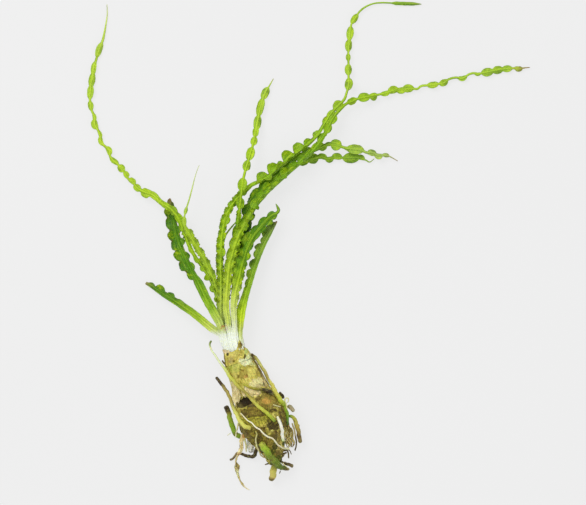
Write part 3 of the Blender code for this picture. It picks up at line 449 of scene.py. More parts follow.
def patch(paint, where, uneven, across, down, long, wide, turn):
    """1 inside an ellipse of the photograph, 0 outside it, with an uneven edge."""
    settings = {"vector_type": "TEXTURE"}
    links = {"Vector": where, "Location": spot(across, down), "Rotation": (0.0, 0.0, math.radians(turn))}
    links["Scale"] = (long * PIXEL, wide * PIXEL, 1.0)
    inside = paint.node("ShaderNodeMapping", settings, links)
    apart = paint.node("ShaderNodeVectorMath", {"operation": "LENGTH"}, {0: inside}, "Value")
    return paint.fade(apart + uneven, 1.2, 0.8)


LEAF_FLESH = {
    "Subsurface Weight": 0.12,
    "Subsurface Scale": 0.8 * MM,
    "Subsurface Radius": (1.0, 1.0, 0.2),
    "Specular IOR Level": 0.18,
}
FRESH_GREEN = tone(204, 222, 40)
DEEP_GREEN = tone(26, 74, 2)
SPECK_BROWN = tone(92, 70, 20)
RUST_SPOT = (225.2, 327.6, 4.0, 2.6, 0.0)  # the ellipse at the bases where rust shows
RUST = tone(186, 118, 62)
SHEATH_WHITE = tone(234, 240, 222)


def leaf_skin(name, stops, dots=0.3, rib_light=0.5, pale=(320.0, 338.0), folds=1.0, rib_until=2.0):
    """Green leaf flesh: bright midrib up to the share rib_until, streaks along the leaf, a painted
    highlight where the blade is lifted and painted shade where it is lowered, painted shade at the necks
    between lobes and along the rim, and brown specks in the notches of the margin. The stops give the
    colour from the base to the tip, and between the two rows of pale the leaf turns into white sheath."""
    paint = Paint(name, LEAF_FLESH)
    share, rim, swell = paint.attribute("growth")
    along, away, lift = paint.attribute("weave")
    where = paint.object_place()
    _, down, _ = paint.axes(where)
    cloud = paint.noise(230.0, 2.0, where)
    mottle = paint.noise(560.0, 2.0, where)
    grain = paint.noise(1300.0, 3.0, where)
    streak = paint.noise(1.0, 2.0, paint.point(along * 0.08, away * 1.1))
    body = paint.ramp(share, stops)
    light = paint.mix(0.55, body, FRESH_GREEN)
    dark = paint.mix(0.62, body, DEEP_GREEN)
    blade = paint.fade(rim, 0.36, 0.5)
    # Painted light and shade: the blade is painted lighter where it is lifted and darker where it is
    # lowered, broken up by mottle.
    fold = lift + (mottle - 0.5) * 3.0 + (cloud - 0.5) * 1.0
    colour = paint.mix(blade * 0.22, body, dark)
    colour = paint.mix(blade * paint.fade(fold, 0.1, 1.0) * (0.85 * folds), colour, light)
    colour = paint.mix(blade * paint.fade(fold, -0.2, -1.0) * (0.8 * folds), colour, dark)
    # Painted shade at the narrow necks between lobes, where the blade stands on edge.
    colour = paint.mix(blade * paint.fade(swell, 0.45, 0.1) * 0.45, colour, dark)
    rib = paint.fade(rim, 0.38, 0.16) * paint.fade(share, rib_until + 0.06, rib_until)
    colour = paint.mix(rib * rib_light * 0.6, colour, light)
    colour = paint.mix(paint.fade(streak, 0.52, 0.66) * 0.45, colour, light)
    colour = paint.mix(paint.fade(streak, 0.48, 0.34) * 0.5, colour, dark)
    # Painted shade along the rim of the margin.
    colour = paint.mix(paint.fade(rim, 0.84, 0.98) * 0.4, colour, dark)
    speck = paint.noise(800.0, 1.0, where)
    notch = paint.fade(swell, 0.75, 0.25) * 0.20
    mark = paint.fade(rim, 0.72, 0.9) * paint.fade(speck + notch, 0.72 - 0.16 * dots, 0.78 - 0.16 * dots)
    colour = paint.mix(mark * (0.35 + 0.6 * dots), colour, SPECK_BROWN)
    rust = patch(paint, where, (mottle - 0.5) * 2.0, *RUST_SPOT)
    colour = paint.mix(rust * paint.fade(speck, 0.46, 0.56) * 0.75, colour, RUST)
    start, end = (float(spot(0, row)[1]) for row in pale)
    white = paint.fade(down + (cloud - 0.5) * 0.006, start, end)
    colour = paint.mix(white, colour, SHEATH_WHITE)
    colour = paint.shaded(colour, 0.66 + white * 0.05 + cloud * 0.22 + grain * 0.30)
    relief = streak * 0.5 + grain * 0.4 + mottle * 1.4
    return paint.surface(colour, 0.36 + grain * 0.25, relief, 0.6 * MM, 0.7)


# The neck, which the leaves' bases wrap: a section runs from a point on its left edge to one on its right
# edge, and its last number is half its thickness.
NECK_SECTIONS = [
    (226.4, 358.6, 247.6, 353.0, 4.6), (225.4, 353.0, 245.8, 348.0, 5.6),
    (223.4, 347.0, 244.4, 342.6, 5.5), (221.8, 341.6, 243.2, 338.4, 5.0),
    (221.0, 337.0, 242.4, 335.0, 4.3), (221.6, 333.0, 241.6, 331.6, 3.5),
    (222.8, 329.4, 240.6, 328.4, 2.7), (224.4, 326.0, 239.4, 325.4, 1.8),
    (226.6, 322.8, 237.6, 322.6, 0.9), (231.2, 320.4, 232.0, 320.4, 0.1),
]
NECK_HEIGHT = 12.5  # millimetres from the floor to its middle
NECK_COLUMN = 230.6  # the pixel column of its middle
NECK_HALF = 12.5  # half its width in pixels where the leaves leave it
SHEATH_SPREAD = 0.9  # how far round the neck the outermost sheaths lie
SHEATH_DOWN = 353.0  # the row under the bulb's skin where sheaths end


def sheath_points(across, down, height, above):
    """Where a leaf's base runs on the neck, and how far it leans there. Above is its millimetres over
    the neck's surface."""
    left, left_down, right, right_down, thick = (np.array(column)[::-1] for column in zip(*NECK_SECTIONS))
    downs = (left_down + right_down) / 2
    points = []
    side = SHEATH_SPREAD * min(1.0, max(-1.0, (across - NECK_COLUMN) / NECK_HALF))
    for share in (1.0, 0.75, 0.5, 0.25):
        row = down + (SHEATH_DOWN - down) * share
        middle = np.interp(row, downs, (left + right) / 2)
        half = np.interp(row, downs, (right - left) / 2)
        half += (NECK_HALF - half) * (1.0 - share) ** 2
        rise = math.sqrt(max(0.0, 1.0 - side**2))
        surface = NECK_HEIGHT + np.interp(row, downs, thick) * rise + above
        blend = min(1.0, 1.6 * share)
        points.append((middle + side * half, row, height + (surface - height) * blend))
    return points, 90.0 - math.degrees(math.asin(side))


leaf_numbers = itertools.count(1)
LEAF_SEED_STEP = 7.3  # from one leaf's random numbers to the next one's
SHEATH_THICK = 1.6
SHEATH_OPENING = 172.0  # degrees from one side of a sheath's blade to the other
LYING_OPEN = [(0.0, 90.0, 170.0), (1.0, 90.0, 170.0)]


def leaf(
    node,
    slot,
    route,
    blade,
    stops,
    stance=LYING_OPEN,
    lobes=(),
    crisp=(),
    blunt=False,
    sheath=(-2.5, 1.3),
    **looks,
):
    """One leaf, with its sheath on the neck before the leaf's own base. Route holds (across, down, height),
    blade (share, left, right, thickness), stance (share, roll, opening), lobes (across, down, length, left,
    right), and the sheath is (millimetres over the neck, half width in millimetres)."""
    above, half = sheath
    points, lean = sheath_points(*route[0], above)
    line = Route(points + route)
    lead = line.nearest(route[0][0], route[0][1])
    start = -lead / (line.length - lead)
    blade = [(start, half, half, SHEATH_THICK), *blade]
    stance = [(start, lean, SHEATH_OPENING), (start * 0.3, lean * 0.5 + 45.0, 168.0), *stance]
    seed = LEAF_SEED_STEP * next(leaf_numbers)
    rings, layers = leaf_rings(line, lead, blade, stance, lobes, crisp, seed, blunt)
    piece = loft(node + "_blade", rings, layers)
    piece.data.materials.append(leaf_skin(node + "_skin", stops, **looks))
    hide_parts(node)


# The leaves at the left
# Four leaves grow from the left side of the neck, and their blades lie open: a short one that was cut
# off, a dark one with wide lobes, and two long ones that end in a thin whisker.
leaf(
    "leaf_left_stub",
    "leaf_dark",
    route=[
        (212.8, 328.8, 13.0), (208.4, 325.4, 12.7), (199.4, 317.8, 11.4), (189.4, 310.4, 9.6),
        (179.4, 303.8, 7.9), (169.4, 297.6, 6.2), (159.4, 291.4, 4.6), (151.4, 286.2, 3.3),
        (145.6, 283.0, 2.4),
    ],
    blade=[(0.0, 2.3, 2.3, 2.6), (0.45, 2.2, 2.2, 2.2), (0.75, 1.8, 1.8, 1.7), (1.0, 0.9, 0.9, 1.0)],
    stance=[(0.0, 90.0, 160.0), (1.0, 80.0, 150.0)],
    lobes=[
        (179.5, 303, 7, 0, 4.2), (170, 297, 9, 0, 5.6), (159, 290.5, 11, 0, 6.2), (151, 286, 7, 0, 3.4),
    ],
    blunt=True,
    sheath=(0.15, 1.6),
    stops=[
        (0, (206, 220, 120)), (0.08, (198, 216, 90)), (0.2, (165, 198, 45)), (0.35, (140, 178, 28)),
        (0.6, (92, 142, 16)), (0.85, (86, 136, 20)), (0.95, (96, 124, 42)), (1, (140, 120, 80)),
    ],
    dots=0.3,
    rib_light=0.1,
    pale=(328.0, 336.0),
)
leaf(
    "leaf_left_dark",
    "leaf_dark",
    route=[
        (220.3, 325.2, 18.6), (219.4, 322.0, 18.4), (216.2, 316.5, 17.7), (213.0, 310.2, 16.6),
        (207.8, 301.0, 14.8), (202.5, 290.4, 12.8), (196.9, 279.6, 10.8), (191.5, 271.0, 9.2),
        (187.2, 262.5, 7.8), (183.2, 254.0, 6.6), (179.6, 244.0, 5.4), (176.2, 232.0, 4.4),
        (173.3, 220.0, 3.7), (171.0, 208.0, 3.2), (169.5, 198.0, 2.6),
    ],
    blade=[
        (0.0, 2.2, 2.2, 2.6), (0.1, 2.6, 2.6, 2.6), (0.35, 2.7, 2.7, 2.4), (0.4, 2.0, 1.8, 2.2),
        (0.48, 3.7, 1.8, 2.1), (0.8, 4.1, 1.7, 1.7), (0.9, 3.2, 1.4, 1.4), (0.96, 1.4, 1.2, 1.2),
        (1.0, 0.5, 0.5, 0.8),
    ],
    stance=[(0.0, 90.0, 160.0), (1.0, 90.0, 150.0)],
    lobes=[
        (191.0, 276.5, 9, 6.6, 0), (189.5, 267.5, 9, 0, 5.6), (185.4, 264.5, 11, 9.6, 0),
        (184.0, 256.5, 9, 0, 5.4), (181.4, 254.5, 10, 9.6, 0), (179.0, 242.0, 8, 0, 6.0),
        (178.6, 244.5, 10, 9.6, 0), (176.2, 235.0, 10, 9.2, 0), (175.5, 230.0, 8, 0, 5.2),
        (173.4, 223.0, 11, 8.8, 0), (173.0, 218.5, 8, 0, 4.8), (171.4, 211.5, 9, 7.4, 0),
        (170.8, 206.0, 8, 0, 3.4), (170.3, 202.0, 7, 3.2, 0),
    ],
    sheath=(0.35, 2.0),
    stops=[
        (0, (200, 216, 120)), (0.07, (178, 205, 80)), (0.14, (140, 182, 32)), (0.3, (110, 160, 15)),
        (0.45, (92, 146, 10)), (0.7, (86, 140, 12)), (0.9, (80, 130, 18)), (0.96, (112, 114, 52)),
        (1, (125, 80, 60)),
    ],
    dots=0.5,
    rib_light=0.0,
    pale=(326.0, 338.0),
    folds=1.25,
)
leaf(
    "leaf_left_long",
    "leaf_green",
    route=[
        (219.8, 325.2, 7.2), (219.9, 320.5, 7.2), (218.8, 306.0, 7.2), (215.8, 294.0, 7.3),
        (211.2, 281.0, 7.5), (206.6, 273.0, 7.6), (201.4, 265.5, 7.8), (195.4, 257.0, 8.0),
        (190.6, 248.5, 8.2), (186.9, 239.5, 8.3), (183.6, 230.0, 8.6), (179.4, 220.0, 9.0),
        (173.8, 212.0, 9.2), (168.5, 207.4, 9.2), (162.5, 203.8, 8.6), (158.5, 200.5, 7.8),
        (154.0, 195.8, 7.0), (149.5, 193.6, 6.4), (146.0, 192.6, 6.0), (140.0, 190.0, 5.3),
        (136.2, 186.8, 4.8), (132.6, 181.6, 4.4), (127.8, 178.3, 4.0), (125.8, 174.0, 3.8),
        (121.0, 168.3, 3.5), (116.5, 163.0, 3.3), (112.5, 160.0, 3.2), (109.8, 156.0, 3.0),
        (108.8, 150.0, 2.9), (104.8, 146.3, 2.8), (100.5, 142.0, 2.7), (99.8, 135.0, 2.6),
        (97.5, 129.5, 2.6), (94.3, 124.3, 2.5), (94.0, 116.5, 2.5), (91.2, 109.8, 2.4),
        (90.3, 105.0, 2.4), (89.6, 99.5, 2.3), (90.5, 87.0, 2.3), (92.2, 76.0, 2.3), (93.5, 66.0, 2.2),
        (95.6, 60.0, 2.1), (98.3, 50.0, 2.1), (102.0, 41.0, 1.9), (103.7, 34.0, 1.7),
        (105.3, 25.0, 1.4), (106.8, 14.0, 1.1), (106.5, 3.5, 0.8),
    ],
    blade=[
        (0.0, 1.4, 1.5, 2.2), (0.08, 1.0, 1.0, 1.8), (0.17, 1.0, 0.9, 1.6), (0.22, 1.2, 1.2, 1.7),
        (0.30, 1.4, 2.0, 1.9), (0.42, 1.4, 1.8, 1.7), (0.46, 0.8, 0.8, 1.3), (0.7, 0.75, 0.75, 1.2),
        (0.9, 0.8, 0.8, 1.1), (0.94, 0.5, 0.5, 0.7), (1.0, 0.2, 0.2, 0.3),
    ],
    stance=[(0.0, 90.0, 150.0), (0.3, 90.0, 150.0), (0.46, 90.0, 165.0), (1.0, 90.0, 170.0)],
    lobes=[
        (217.8, 298.6, 6, 3.4, 0), (214.0, 288.0, 8, 4.8, 0), (209.4, 276.6, 7, 5.2, 0),
        (203.2, 268.0, 6, 3.6, 0), (197.0, 259.6, 7, 3.0, 0), (190.6, 250.0, 6, 2.8, 0),
        (182.6, 227.4, 9, 3.4, 4.0), (178.4, 218.5, 9, 3.2, 4.6), (172.6, 211.0, 8, 0, 4.6),
        (165.5, 205.0, 7, 3.0, 3.0), (154.0, 195.8, 9, 3.4, 3.4), (146.0, 192.6, 10, 5.4, 4.2),
        (137.0, 187.5, 8, 3.4, 3.6), (131.8, 181.2, 8, 2.6, 3.4), (126.0, 174.5, 7, 2.8, 3.0),
        (121.0, 168.3, 8, 3.8, 4.0), (114.0, 161.0, 10, 2.6, 2.8), (108.9, 150.5, 9, 2.8, 3.0),
        (100.3, 141.3, 9, 2.4, 2.4), (100.0, 134.0, 7, 1.6, 2.2), (94.3, 124.3, 10, 3.6, 3.2),
        (94.2, 117.0, 7, 2.0, 2.2), (90.6, 105.5, 9, 2.8, 2.8), (89.9, 92.0, 14, 3.4, 3.4),
        (91.6, 80.0, 14, 3.4, 3.4), (93.2, 68.0, 13, 2.8, 2.8), (98.6, 49.5, 15, 3.2, 3.2),
    ],
    crisp=[(0.02, 0.19, 3.0, 1.1, 1), (0.25, 0.35, 3.0, 0.7)],
    stops=[
        (0, (200, 216, 110)), (0.04, (172, 202, 60)), (0.1, (158, 196, 40)), (0.3, (156, 196, 32)),
        (0.42, (170, 204, 46)), (0.6, (180, 212, 58)), (0.85, (178, 210, 62)), (0.93, (184, 212, 84)),
        (1, (212, 218, 160)),
    ],
    dots=0.15,
    folds=0.6,
)
leaf(
    "leaf_left_whisker",
    "leaf_green",
    route=[
        (222.6, 325.2, 10.7), (222.2, 320.5, 10.7), (220.5, 306.0, 10.5), (217.6, 292.0, 10.6),
        (213.8, 279.5, 11.0), (209.8, 270.5, 11.4), (204.4, 260.0, 11.9), (198.0, 249.0, 12.4),
        (192.6, 239.8, 12.9), (188.0, 231.6, 13.2), (184.8, 224.5, 13.4), (184.4, 218.0, 13.2),
        (186.3, 209.5, 12.7), (189.2, 200.0, 12.0), (192.0, 189.5, 11.2), (194.8, 178.0, 10.3),
        (197.5, 169.5, 9.7), (199.5, 165.0, 9.4),
    ],
    blade=[
        (0.0, 1.4, 1.4, 1.8), (0.1, 1.0, 1.3, 1.5), (0.35, 0.9, 1.3, 1.4), (0.5, 0.9, 1.5, 1.4),
        (0.58, 1.0, 1.5, 1.3), (0.62, 0.9, 0.9, 1.2), (0.65, 0.5, 0.5, 0.8), (0.8, 0.45, 0.45, 0.6),
        (1.0, 0.15, 0.15, 0.25),
    ],
    stance=[(0.0, 90.0, 150.0), (1.0, 90.0, 165.0)],
    lobes=[
        (206.6, 272.0, 6, 3.4, 0), (212.0, 284.0, 6, 3.6, 0), (215.5, 296.0, 6, 3.4, 0),
        (184.5, 221.5, 9, 2.4, 2.4), (186.0, 211.0, 7, 1.9, 1.9),
    ],
    crisp=[(0.06, 0.60, 3.4, 1.4)],
    stops=[
        (0, (200, 216, 110)), (0.1, (172, 202, 66)), (0.3, (168, 202, 56)), (0.6, (166, 200, 48)),
        (0.75, (172, 204, 80)), (1, (208, 216, 156)),
    ],
    dots=0.15,
    folds=0.6,
)


# The leaves of the bundle
# The leaves from the middle of the neck run up together, cross one another and arch over to the right.
# Two of them are folded one against the other, and the one in the middle lies by itself.
leaf(
    "leaf_upright_right",
    "leaf_green",
    route=[
        (220.9, 325.2, 14.6), (221.1, 320.5, 14.6), (221.3, 300.0, 14.2), (221.2, 280.0, 13.8),
        (221.0, 262.0, 13.3), (221.3, 246.0, 12.9), (222.4, 233.0, 12.4), (225.0, 220.5, 11.9),
        (228.4, 211.5, 11.4), (233.0, 203.5, 10.9), (239.0, 196.8, 10.5), (246.0, 190.0, 10.2),
        (252.0, 185.3, 10.0), (258.5, 182.5, 10.0), (265.0, 179.0, 10.0), (271.0, 175.0, 10.0),
        (277.0, 170.0, 10.0), (283.0, 165.0, 10.0), (289.0, 160.0, 10.0), (295.0, 155.0, 10.0),
        (301.0, 150.5, 10.0), (307.0, 146.0, 9.9), (313.0, 140.4, 9.8), (319.0, 133.6, 9.6),
        (324.0, 125.2, 9.3), (329.0, 117.0, 9.0), (334.0, 110.5, 8.3), (339.5, 104.6, 7.6),
        (344.5, 99.0, 7.1), (346.6, 93.0, 6.7), (348.8, 84.0, 6.2), (348.6, 76.0, 5.4),
        (348.4, 69.5, 4.8), (348.5, 62.0, 4.2), (348.3, 56.0, 3.7), (348.7, 46.0, 3.1),
        (350.2, 33.0, 2.7), (351.5, 24.0, 2.5), (355.0, 18.0, 2.4), (359.8, 11.0, 2.2),
        (366.0, 6.2, 2.1), (374.0, 3.0, 2.0), (384.0, 2.2, 1.9), (396.0, 2.8, 1.8), (408.0, 3.2, 1.6),
        (422.0, 3.6, 1.3),
    ],
    blade=[
        (0.0, 1.8, 1.8, 2.3), (0.06, 1.7, 1.6, 2.3), (0.11, 2.3, 1.6, 2.2), (0.14, 2.7, 1.2, 2.2),
        (0.155, 2.7, 1.2, 2.1), (0.185, 2.7, 1.7, 2.1), (0.21, 2.1, 1.6, 2.0), (0.25, 2.4, 1.8, 2.0),
        (0.28, 2.1, 1.7, 1.9), (0.32, 2.3, 1.5, 1.6), (0.34, 1.7, 1.5, 1.3), (0.52, 1.8, 1.2, 1.3),
        (0.62, 1.0, 0.9, 1.5), (0.66, 0.7, 0.7, 1.1), (0.86, 0.6, 0.6, 1.0), (0.88, 0.5, 0.5, 0.7),
        (0.93, 0.5, 0.5, 0.7), (0.94, 1.1, 1.1, 0.8), (0.98, 1.1, 1.1, 0.7), (1.0, 0.2, 0.2, 0.3),
    ],
    stance=[
        (0.0, 90.0, 160.0), (0.30, 95.0, 150.0), (0.36, 140.0, 80.0), (0.40, 150.0, 60.0),
        (0.52, 150.0, 60.0), (0.58, 110.0, 130.0), (0.65, 90.0, 165.0), (1.0, 90.0, 170.0),
    ],
    lobes=[
        (221.0, 252.0, 9, 0, 4.8), (222.2, 236.0, 8, 0, 4.6), (225.2, 220.0, 8, 0, 5.2),
        (262.0, 176.5, 13, 9.6, 0), (271.5, 167.0, 13.5, 10.6, 0), (279.5, 163.5, 7, 6.5, 0),
        (285.5, 154.5, 12.5, 11.0, 0), (298.0, 147.5, 12.5, 10.0, 0), (307.5, 142.0, 9.5, 7.2, 0),
        (316.5, 134.0, 9, 5.8, 0), (326.5, 121.0, 8, 4.2, 3.6), (257.5, 183.0, 10, 0, 4.0),
        (268.0, 177.0, 11, 0, 5.2), (280.0, 167.5, 11, 0, 5.2), (292.0, 157.5, 11, 0, 4.8),
        (303.5, 148.6, 9, 0, 3.6), (331.0, 114.5, 9, 3.6, 3.4), (338.5, 105.6, 11, 5.6, 4.4),
        (348.8, 84.0, 12, 4.0, 4.2), (348.4, 69.5, 11, 3.6, 3.6), (348.3, 57.0, 7, 2.4, 2.4),
        (348.8, 45.5, 12, 3.6, 3.4), (350.2, 33.0, 14, 3.6, 3.6), (354.8, 18.2, 11, 3.2, 3.0),
    ],
    crisp=[(0.05, 0.325, 2.3, 0.5)],
    sheath=(-0.5, 1.5),
    stops=[
        (0, (200, 214, 120)), (0.04, (186, 206, 90)), (0.1, (158, 192, 50)), (0.18, (154, 196, 28)),
        (0.3, (150, 192, 24)), (0.36, (146, 190, 24)), (0.5, (142, 186, 24)), (0.65, (172, 206, 52)),
        (0.85, (172, 206, 56)), (0.92, (134, 174, 40)), (0.97, (118, 160, 44)), (1, (140, 160, 70)),
    ],
    dots=0.55,
    pale=(324.0, 337.0),
    rib_until=0.3,
)
leaf(
    "leaf_long_right",
    "leaf_green",
    route=[
        (228.3, 325.2, 17.4), (228.1, 320.5, 17.4), (226.5, 310.0, 17.2), (226.4, 300.0, 17.0),
        (227.5, 285.0, 16.7), (229.1, 268.0, 16.3), (232.0, 255.0, 15.9), (236.2, 242.0, 15.3),
        (241.0, 231.0, 14.7), (246.2, 221.5, 14.1), (252.4, 211.8, 13.7), (258.8, 202.6, 13.3),
        (264.0, 197.0, 13.0), (269.0, 191.0, 12.9), (279.0, 182.0, 12.7), (289.0, 173.0, 12.6),
        (299.5, 164.0, 12.5), (305.5, 158.8, 12.4), (311.5, 152.6, 12.2), (317.0, 146.2, 12.0),
        (322.0, 139.0, 11.7), (326.4, 131.4, 11.5), (330.4, 123.4, 11.2), (335.2, 115.0, 10.9),
        (341.5, 108.0, 10.6), (347.0, 103.4, 9.3), (352.0, 101.4, 8.2), (357.0, 99.0, 7.2),
        (364.0, 97.4, 6.0), (374.0, 95.3, 5.0), (384.0, 93.3, 4.2), (394.0, 90.3, 3.6),
        (404.0, 88.8, 3.2), (412.0, 88.3, 3.0), (417.5, 88.6, 2.8), (422.0, 85.6, 2.7),
        (432.0, 84.8, 2.7), (438.0, 83.6, 2.6), (444.0, 82.5, 2.6), (449.0, 79.0, 2.5),
        (456.0, 77.2, 2.5), (463.0, 78.2, 2.4), (469.0, 74.2, 2.4), (474.0, 72.8, 2.3),
        (478.0, 74.0, 2.3), (481.5, 73.0, 2.3), (487.0, 72.0, 2.3), (500.0, 69.5, 2.3),
        (514.0, 67.8, 2.0), (519.0, 68.5, 2.0), (525.0, 67.5, 1.8), (530.7, 67.0, 1.5),
    ],
    blade=[
        (0.0, 1.8, 1.8, 2.5), (0.06, 2.0, 1.8, 2.4), (0.10, 2.5, 2.6, 2.4), (0.13, 2.4, 3.2, 2.4),
        (0.17, 2.6, 3.0, 2.3), (0.20, 2.8, 2.4, 2.2), (0.24, 2.8, 2.8, 2.2), (0.28, 2.2, 2.0, 1.8),
        (0.31, 2.2, 1.8, 1.5), (0.44, 2.2, 1.6, 1.5), (0.50, 1.3, 1.3, 1.7), (0.58, 0.9, 0.9, 1.3),
        (0.66, 0.75, 0.75, 1.2), (0.9, 0.7, 0.7, 1.1), (0.97, 0.7, 0.7, 0.8), (1.0, 0.2, 0.2, 0.3),
    ],
    stance=[
        (0.0, 90.0, 160.0), (0.20, 95.0, 140.0), (0.25, 130.0, 90.0), (0.28, 154.0, 56.0),
        (0.42, 154.0, 56.0), (0.48, 120.0, 110.0), (0.54, 90.0, 165.0), (1.0, 90.0, 170.0),
    ],
    lobes=[
        (254.5, 203.5, 11, 8.0, 0), (261.0, 195.0, 11, 8.6, 0), (268.0, 187.5, 11, 9.4, 0),
        (276.0, 179.5, 11, 9.6, 0), (284.5, 172.0, 11, 9.2, 0), (292.0, 164.5, 10, 8.4, 0),
        (300.0, 157.5, 10, 7.4, 0), (307.0, 151.5, 9, 5.4, 0), (258.5, 201.0, 10, 0, 5.0),
        (266.0, 192.5, 10, 0, 5.6), (274.0, 184.5, 10, 0, 5.8), (283.0, 176.5, 10, 0, 5.6),
        (291.5, 169.0, 10, 0, 5.2), (300.0, 162.0, 9, 0, 4.4), (308.0, 155.0, 9, 0, 3.6),
        (315.0, 147.5, 9, 4.4, 2.8), (322.0, 138.5, 10, 5.0, 3.0), (327.5, 128.5, 9, 4.2, 4.0),
        (332.5, 119.0, 10, 3.6, 4.4), (352.0, 101.4, 10, 3.8, 3.4), (364.0, 97.4, 12, 5.0, 4.6),
        (373.5, 95.4, 8, 2.8, 5.2), (385.5, 93.0, 9, 2.2, 3.2), (393.0, 90.6, 11, 4.8, 2.8),
        (401.5, 89.0, 10, 2.2, 4.6), (408.5, 88.5, 11, 4.6, 3.8), (433.0, 84.7, 11, 3.4, 3.4),
        (444.0, 82.4, 9, 3.4, 3.4), (463.0, 78.1, 9, 2.6, 2.6), (478.0, 74.0, 6, 1.8, 1.8),
        (487.5, 72.0, 12, 4.4, 4.2), (498.5, 69.8, 11, 4.2, 3.8), (508.0, 68.6, 10, 3.6, 3.4),
        (519.0, 68.5, 8, 2.6, 2.8),
    ],
    crisp=[(0.08, 0.28, 3.4, 0.7)],
    sheath=(0.45, 1.7),
    stops=[
        (0, (208, 222, 125)), (0.05, (196, 214, 80)), (0.12, (172, 202, 50)), (0.18, (160, 196, 40)),
        (0.3, (124, 172, 14)), (0.45, (124, 172, 14)), (0.6, (158, 196, 36)), (0.75, (172, 206, 54)),
        (0.95, (160, 198, 58)), (1, (160, 120, 80)),
    ],
    dots=0.12,
    rib_light=0.7,
    pale=(322.0, 334.0),
    rib_until=0.22,
    folds=0.8,
)
leaf(
    "leaf_mid_right",
    "leaf_green",
    route=[
        (233.8, 325.2, 13.4), (233.8, 320.5, 13.4), (234.2, 305.0, 13.4), (235.4, 290.0, 13.3),
        (237.6, 272.0, 13.0), (240.2, 257.0, 12.6), (242.8, 243.0, 11.8), (245.0, 231.0, 10.8),
        (247.2, 220.5, 9.6), (250.4, 209.5, 8.6), (255.6, 198.6, 7.9), (263.5, 188.5, 7.5),
        (273.0, 179.0, 7.2), (284.0, 168.5, 6.8), (294.0, 159.5, 6.8), (301.0, 155.0, 6.8),
        (308.0, 152.4, 6.8), (315.0, 149.8, 6.7), (321.0, 147.2, 6.6), (326.6, 144.6, 6.4),
        (331.0, 144.0, 6.4), (336.0, 144.8, 6.3), (342.0, 146.8, 6.2), (347.0, 148.4, 6.2),
        (354.0, 149.2, 6.2), (362.0, 150.4, 5.9), (366.5, 152.4, 5.6), (372.0, 152.4, 5.2),
        (378.0, 155.2, 4.6), (384.0, 155.0, 3.9), (390.0, 156.4, 3.2), (398.2, 161.0, 2.2),
    ],
    blade=[
        (0.0, 1.7, 1.3, 2.2), (0.15, 2.4, 2.0, 1.8), (0.24, 3.0, 3.0, 1.6), (0.34, 2.8, 2.7, 1.6),
        (0.38, 2.8, 2.0, 1.6), (0.48, 2.8, 1.9, 1.7), (0.52, 1.9, 1.9, 1.7), (0.62, 1.6, 1.6, 1.7),
        (0.70, 1.2, 1.2, 1.5), (0.76, 0.9, 0.9, 1.3), (0.9, 0.8, 0.8, 1.0), (1.0, 0.2, 0.2, 0.3),
    ],
    stance=[(0.0, 90.0, 160.0), (1.0, 90.0, 165.0)],
    lobes=[
        (248.6, 216.0, 9, 0, 6.6), (246.4, 225.0, 10, 0, 5.6), (245.0, 232.0, 11, 4.6, 0),
        (247.2, 221.0, 11, 6.0, 0), (249.8, 211.0, 12, 8.4, 0), (254.5, 193.5, 12, 7.4, 0),
        (264.0, 183.5, 11, 6.4, 0), (274.0, 172.5, 12, 6.0, 0), (295.5, 156.0, 11, 5.6, 0),
        (308.0, 152.4, 11, 5.2, 5.0), (319.0, 145.0, 9.5, 7.0, 0), (323.5, 148.0, 9, 0, 4.4),
        (329.0, 144.4, 6, 2.4, 2.0), (336.0, 144.8, 11, 5.6, 5.8), (347.5, 148.6, 5, 2.0, 2.0),
        (355.0, 149.4, 17, 5.0, 4.8), (372.0, 152.4, 9, 3.2, 3.4), (379.0, 155.4, 8, 1.8, 4.0),
        (386.0, 155.2, 7, 2.4, 2.0),
    ],
    crisp=[(0.16, 0.30, 3.8, 0.4), (0.36, 0.68, 3.8, 1.0, -1)],
    stops=[
        (0, (205, 220, 140)), (0.06, (150, 186, 50)), (0.15, (112, 158, 16)), (0.22, (96, 144, 12)),
        (0.28, (50, 108, 8)), (0.36, (64, 120, 10)), (0.45, (104, 156, 14)), (0.62, (118, 168, 18)),
        (0.7, (140, 184, 36)), (0.8, (156, 194, 56)), (0.95, (170, 194, 100)), (1, (176, 150, 120)),
    ],
    dots=0.35,
    rib_light=0.1,
)
